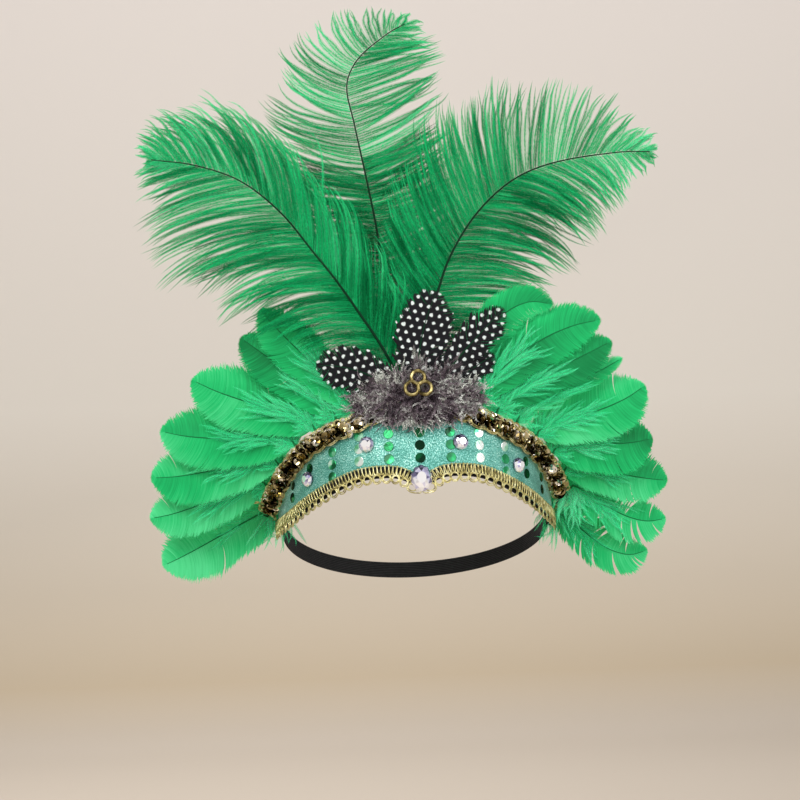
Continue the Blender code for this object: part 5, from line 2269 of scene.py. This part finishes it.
# The feathers beyond this angle hang at the band's ends.
FAN_END = 78.0
# Rows: angle round the head, distance out, tip, arriving direction, width, cup and tone. The upper feathers
# of each fan take darker tones, a painted shadow of the plumes over them; otherwise the tones differ from
# feather to feather.
LEFT_FAN = (
    (-27, 1.2, (-91, -71, 110), 128, 34, 3, 0.34),
    (-35, 1.2, (-103, -65, 94), 142, 35, 3, 0.14),
    (-44, 1.2, (-133, -58, 70), 150, 42, 3, 0.42),
    (-53, 1.2, (-153, -49, 40), 163, 42, 3, 0.6),
    (-62, 1.2, (-160, -38, 12), 178, 42, 3, 0.55),
    (-72, 1.2, (-162, -25, -13), 186, 38, 3, 0.6),
    (-88, -1.0, (-156, -6, -43), 202, 45, 3, 0.8),
)
RIGHT_FAN = (
    (16, -3.2, (82, -78, 108), -22, 28, 1, 0.2),
    (25, 1.2, (110, -76, 98), 5, 36, 3, 0.18),
    (34, 1.2, (117, -70, 85), 25, 32, 3, 0.12),
    (43, 1.2, (124, -64, 75), 30, 16, 3, 0.5),
    (52, 1.2, (138, -56, 58), 38, 42, 3, 0.62),
    (61, 1.2, (143, -45, 26), 14, 42, 3, 0.2),
    (70, 1.2, (153, -32, 0), -4, 36, 3, 0.4),
    (79, 2.4, (153, -19, -24), 18, 34, 3, 0.55),
    (88, -1.0, (143, -4, -44), 28, 32, 3, 0.5),
)
FAN_FEATHERS = tuple(
    ShortFeather(
        f"fan_vane_{side}_{number}", *row,
        wisps=44 if abs(row[0]) > FAN_END else 0,
        splits=6 if row[0] > FAN_END else 1,
        split_turn=6.5 if row[0] > FAN_END else 1.8,
        skirt_length=(12.0, 30.0) if abs(row[0]) > FAN_END else (7.0, 16.0),
    )
    for side, rows in (("left", LEFT_FAN), ("right", RIGHT_FAN))
    for number, row in enumerate(rows, 1)
)
SPOTTED_FEATHERS = tuple(
    ShortFeather(
        *row, ragged=0.08, overlap=1.15, strips=150, down_strands=40, down_length=(6.0, 13.0), down_share=0.3,
        skirt_strands=0, flat_map=True,
    )
    for row in (
        ("guinea_vane_left", -9, 0.2, (-59, -86, 76), 182, 24, 1),
        ("guinea_vane_centre", 0, 1.0, (13, -88, 117), 62, 28, 1),
        ("guinea_vane_right", 7, 0.4, (52, -86.4, 106), 45, 20, 1),
        ("guinea_vane_low_right", 12, -0.6, (46, -83.3, 79), 28, 15, 1),
    )
)
STONES = (
    Stone("centre_gem", 0.0, 7.6, 6.4, 8.0, 4.4),
    Stone("upper_gem_left", -22.0, 28.6, 4.8, 4.8, 3.4),
    Stone("upper_gem_right", 17.0, 28.4, 4.8, 4.8, 3.4),
    Stone("side_gem_left", -51.5, 8.6, 4.6, 4.6, 3.2),
    Stone("side_gem_right", 45.0, 13.0, 4.6, 4.6, 3.2),
)


class Headband:
    """The whole headdress, built piece by piece."""

    def __init__(self) -> None:
        """Make the band's form and the finishes that its pieces share."""
        self.band = Band()
        self.effects = Effects()
        self.gold = ThreadFinish().make(self.effects)
        self.quill = DARK_QUILL.make(self.effects)
        self.felt = BlackFinish("black_felt", Pattern.FELT).make(self.effects)

    def take(self, piece: Object, slot: str, *nodes: str) -> None:
        """Put a finished piece on the frame.

        Args:
            piece: The piece.
            slot: The record's material slot; not used.
            nodes: The solids that it stands for.
        """
        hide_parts(*nodes)
        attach(piece, "root")
        LOG.info("%s: %d faces for %s", piece.name, len(piece.data.polygons), ", ".join(nodes))

    def build_walls(self) -> None:
        """Cloth, dots, backing and strap."""
        walls = BandWalls(self.band)
        knit = KnitFinish().make(self.effects)
        cloth = walls.wall("knit_cloth", walls.cloth_below, 0.0, walls.cloth_thick, knit)
        self.take(cloth, "sea_green_cloth", "band_fabric")
        dots = FoilDots().build(self.band, [DOT_FOIL.make(self.effects)])
        self.take(dots, "sea_green_cloth", "band_fabric")
        below, out, thick = walls.backing_below, walls.backing_out, walls.backing_thick
        backing = walls.wall("felt_backing", below, out, thick, self.felt)
        self.take(backing, "black_backing", "band_backing")
        ribbed = BlackFinish("ribbed_elastic", Pattern.RIBBED).make(self.effects)
        self.take(walls.strap(ribbed), "black_elastic", "elastic_strap")

    def build_trims(self) -> None:
        """Gimp braid, sequin trims, stones and trefoil."""
        self.take(LoopBraid().build(self.band, [self.gold, self.felt]), "gold_braid", "edge_braid")
        sequins = SEQUIN_FOIL.make(self.effects)
        for name, side, seed, loose in (("sequins_left", -1, 41, 4), ("sequins_right", 1, 42, 0)):
            trim = SequinTrim(name, side, seed, loose_ends=loose)
            node = name.replace("sequins", "sequin_trim")
            self.take(trim.build(self.band, [sequins, self.gold]), "antique_gold_sequins", node)
        crystal = GemFinish().make(self.effects)
        for stone in STONES:
            self.take(stone.build(self.band, crystal), "clear_stone", stone.name.replace("gem", "stone"))
        self.take(Trefoil().build(self.band, SHADED_CORD.make(self.effects)), "gold_braid", "braid_trefoil")

    def build_feathers(self) -> None:
        """Plumes, fans, spotted feathers and the tuft of down."""
        barbs, haze = PLUME_BARBS.make(self.effects), PLUME_HAZE.make(self.effects)
        for plume in PLUMES:
            made = plume.build(self.band, [barbs, self.quill, barbs, haze])
            self.take(made, "plume_green", plume.name.replace("ostrich_", ""))
        fan = [finish.make(self.effects) for finish in (FAN_VANE, FAN_QUILL, FAN_DOWN, FAN_HAZE)]
        for feather in FAN_FEATHERS:
            self.take(feather.build(self.band, fan), "fan_green", feather.name.replace("vane", "feather"))
        smoky, veil = GREY_DOWN.make(self.effects), GREY_HAZE.make(self.effects)
        spotted = [SpottedFinish().make(self.effects), self.quill, smoky, veil]
        for feather in SPOTTED_FEATHERS:
            node = feather.name.replace("vane", "feather")
            self.take(feather.build(self.band, spotted), "spotted_black", node)
        self.take(Tuft().build(self.band, [smoky, smoky, smoky, veil]), "grey_down", "down_tuft")

    def build(self) -> None:
        """Build everything."""
        self.build_walls()
        self.build_trims()
        self.build_feathers()


def main() -> None:
    """Load the frame, set the stage and build the headband."""
    logging.basicConfig(level=logging.INFO, format="%(message)s")
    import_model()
    Studio().build()
    Headband().build()


if __name__ == "__main__":
    main()
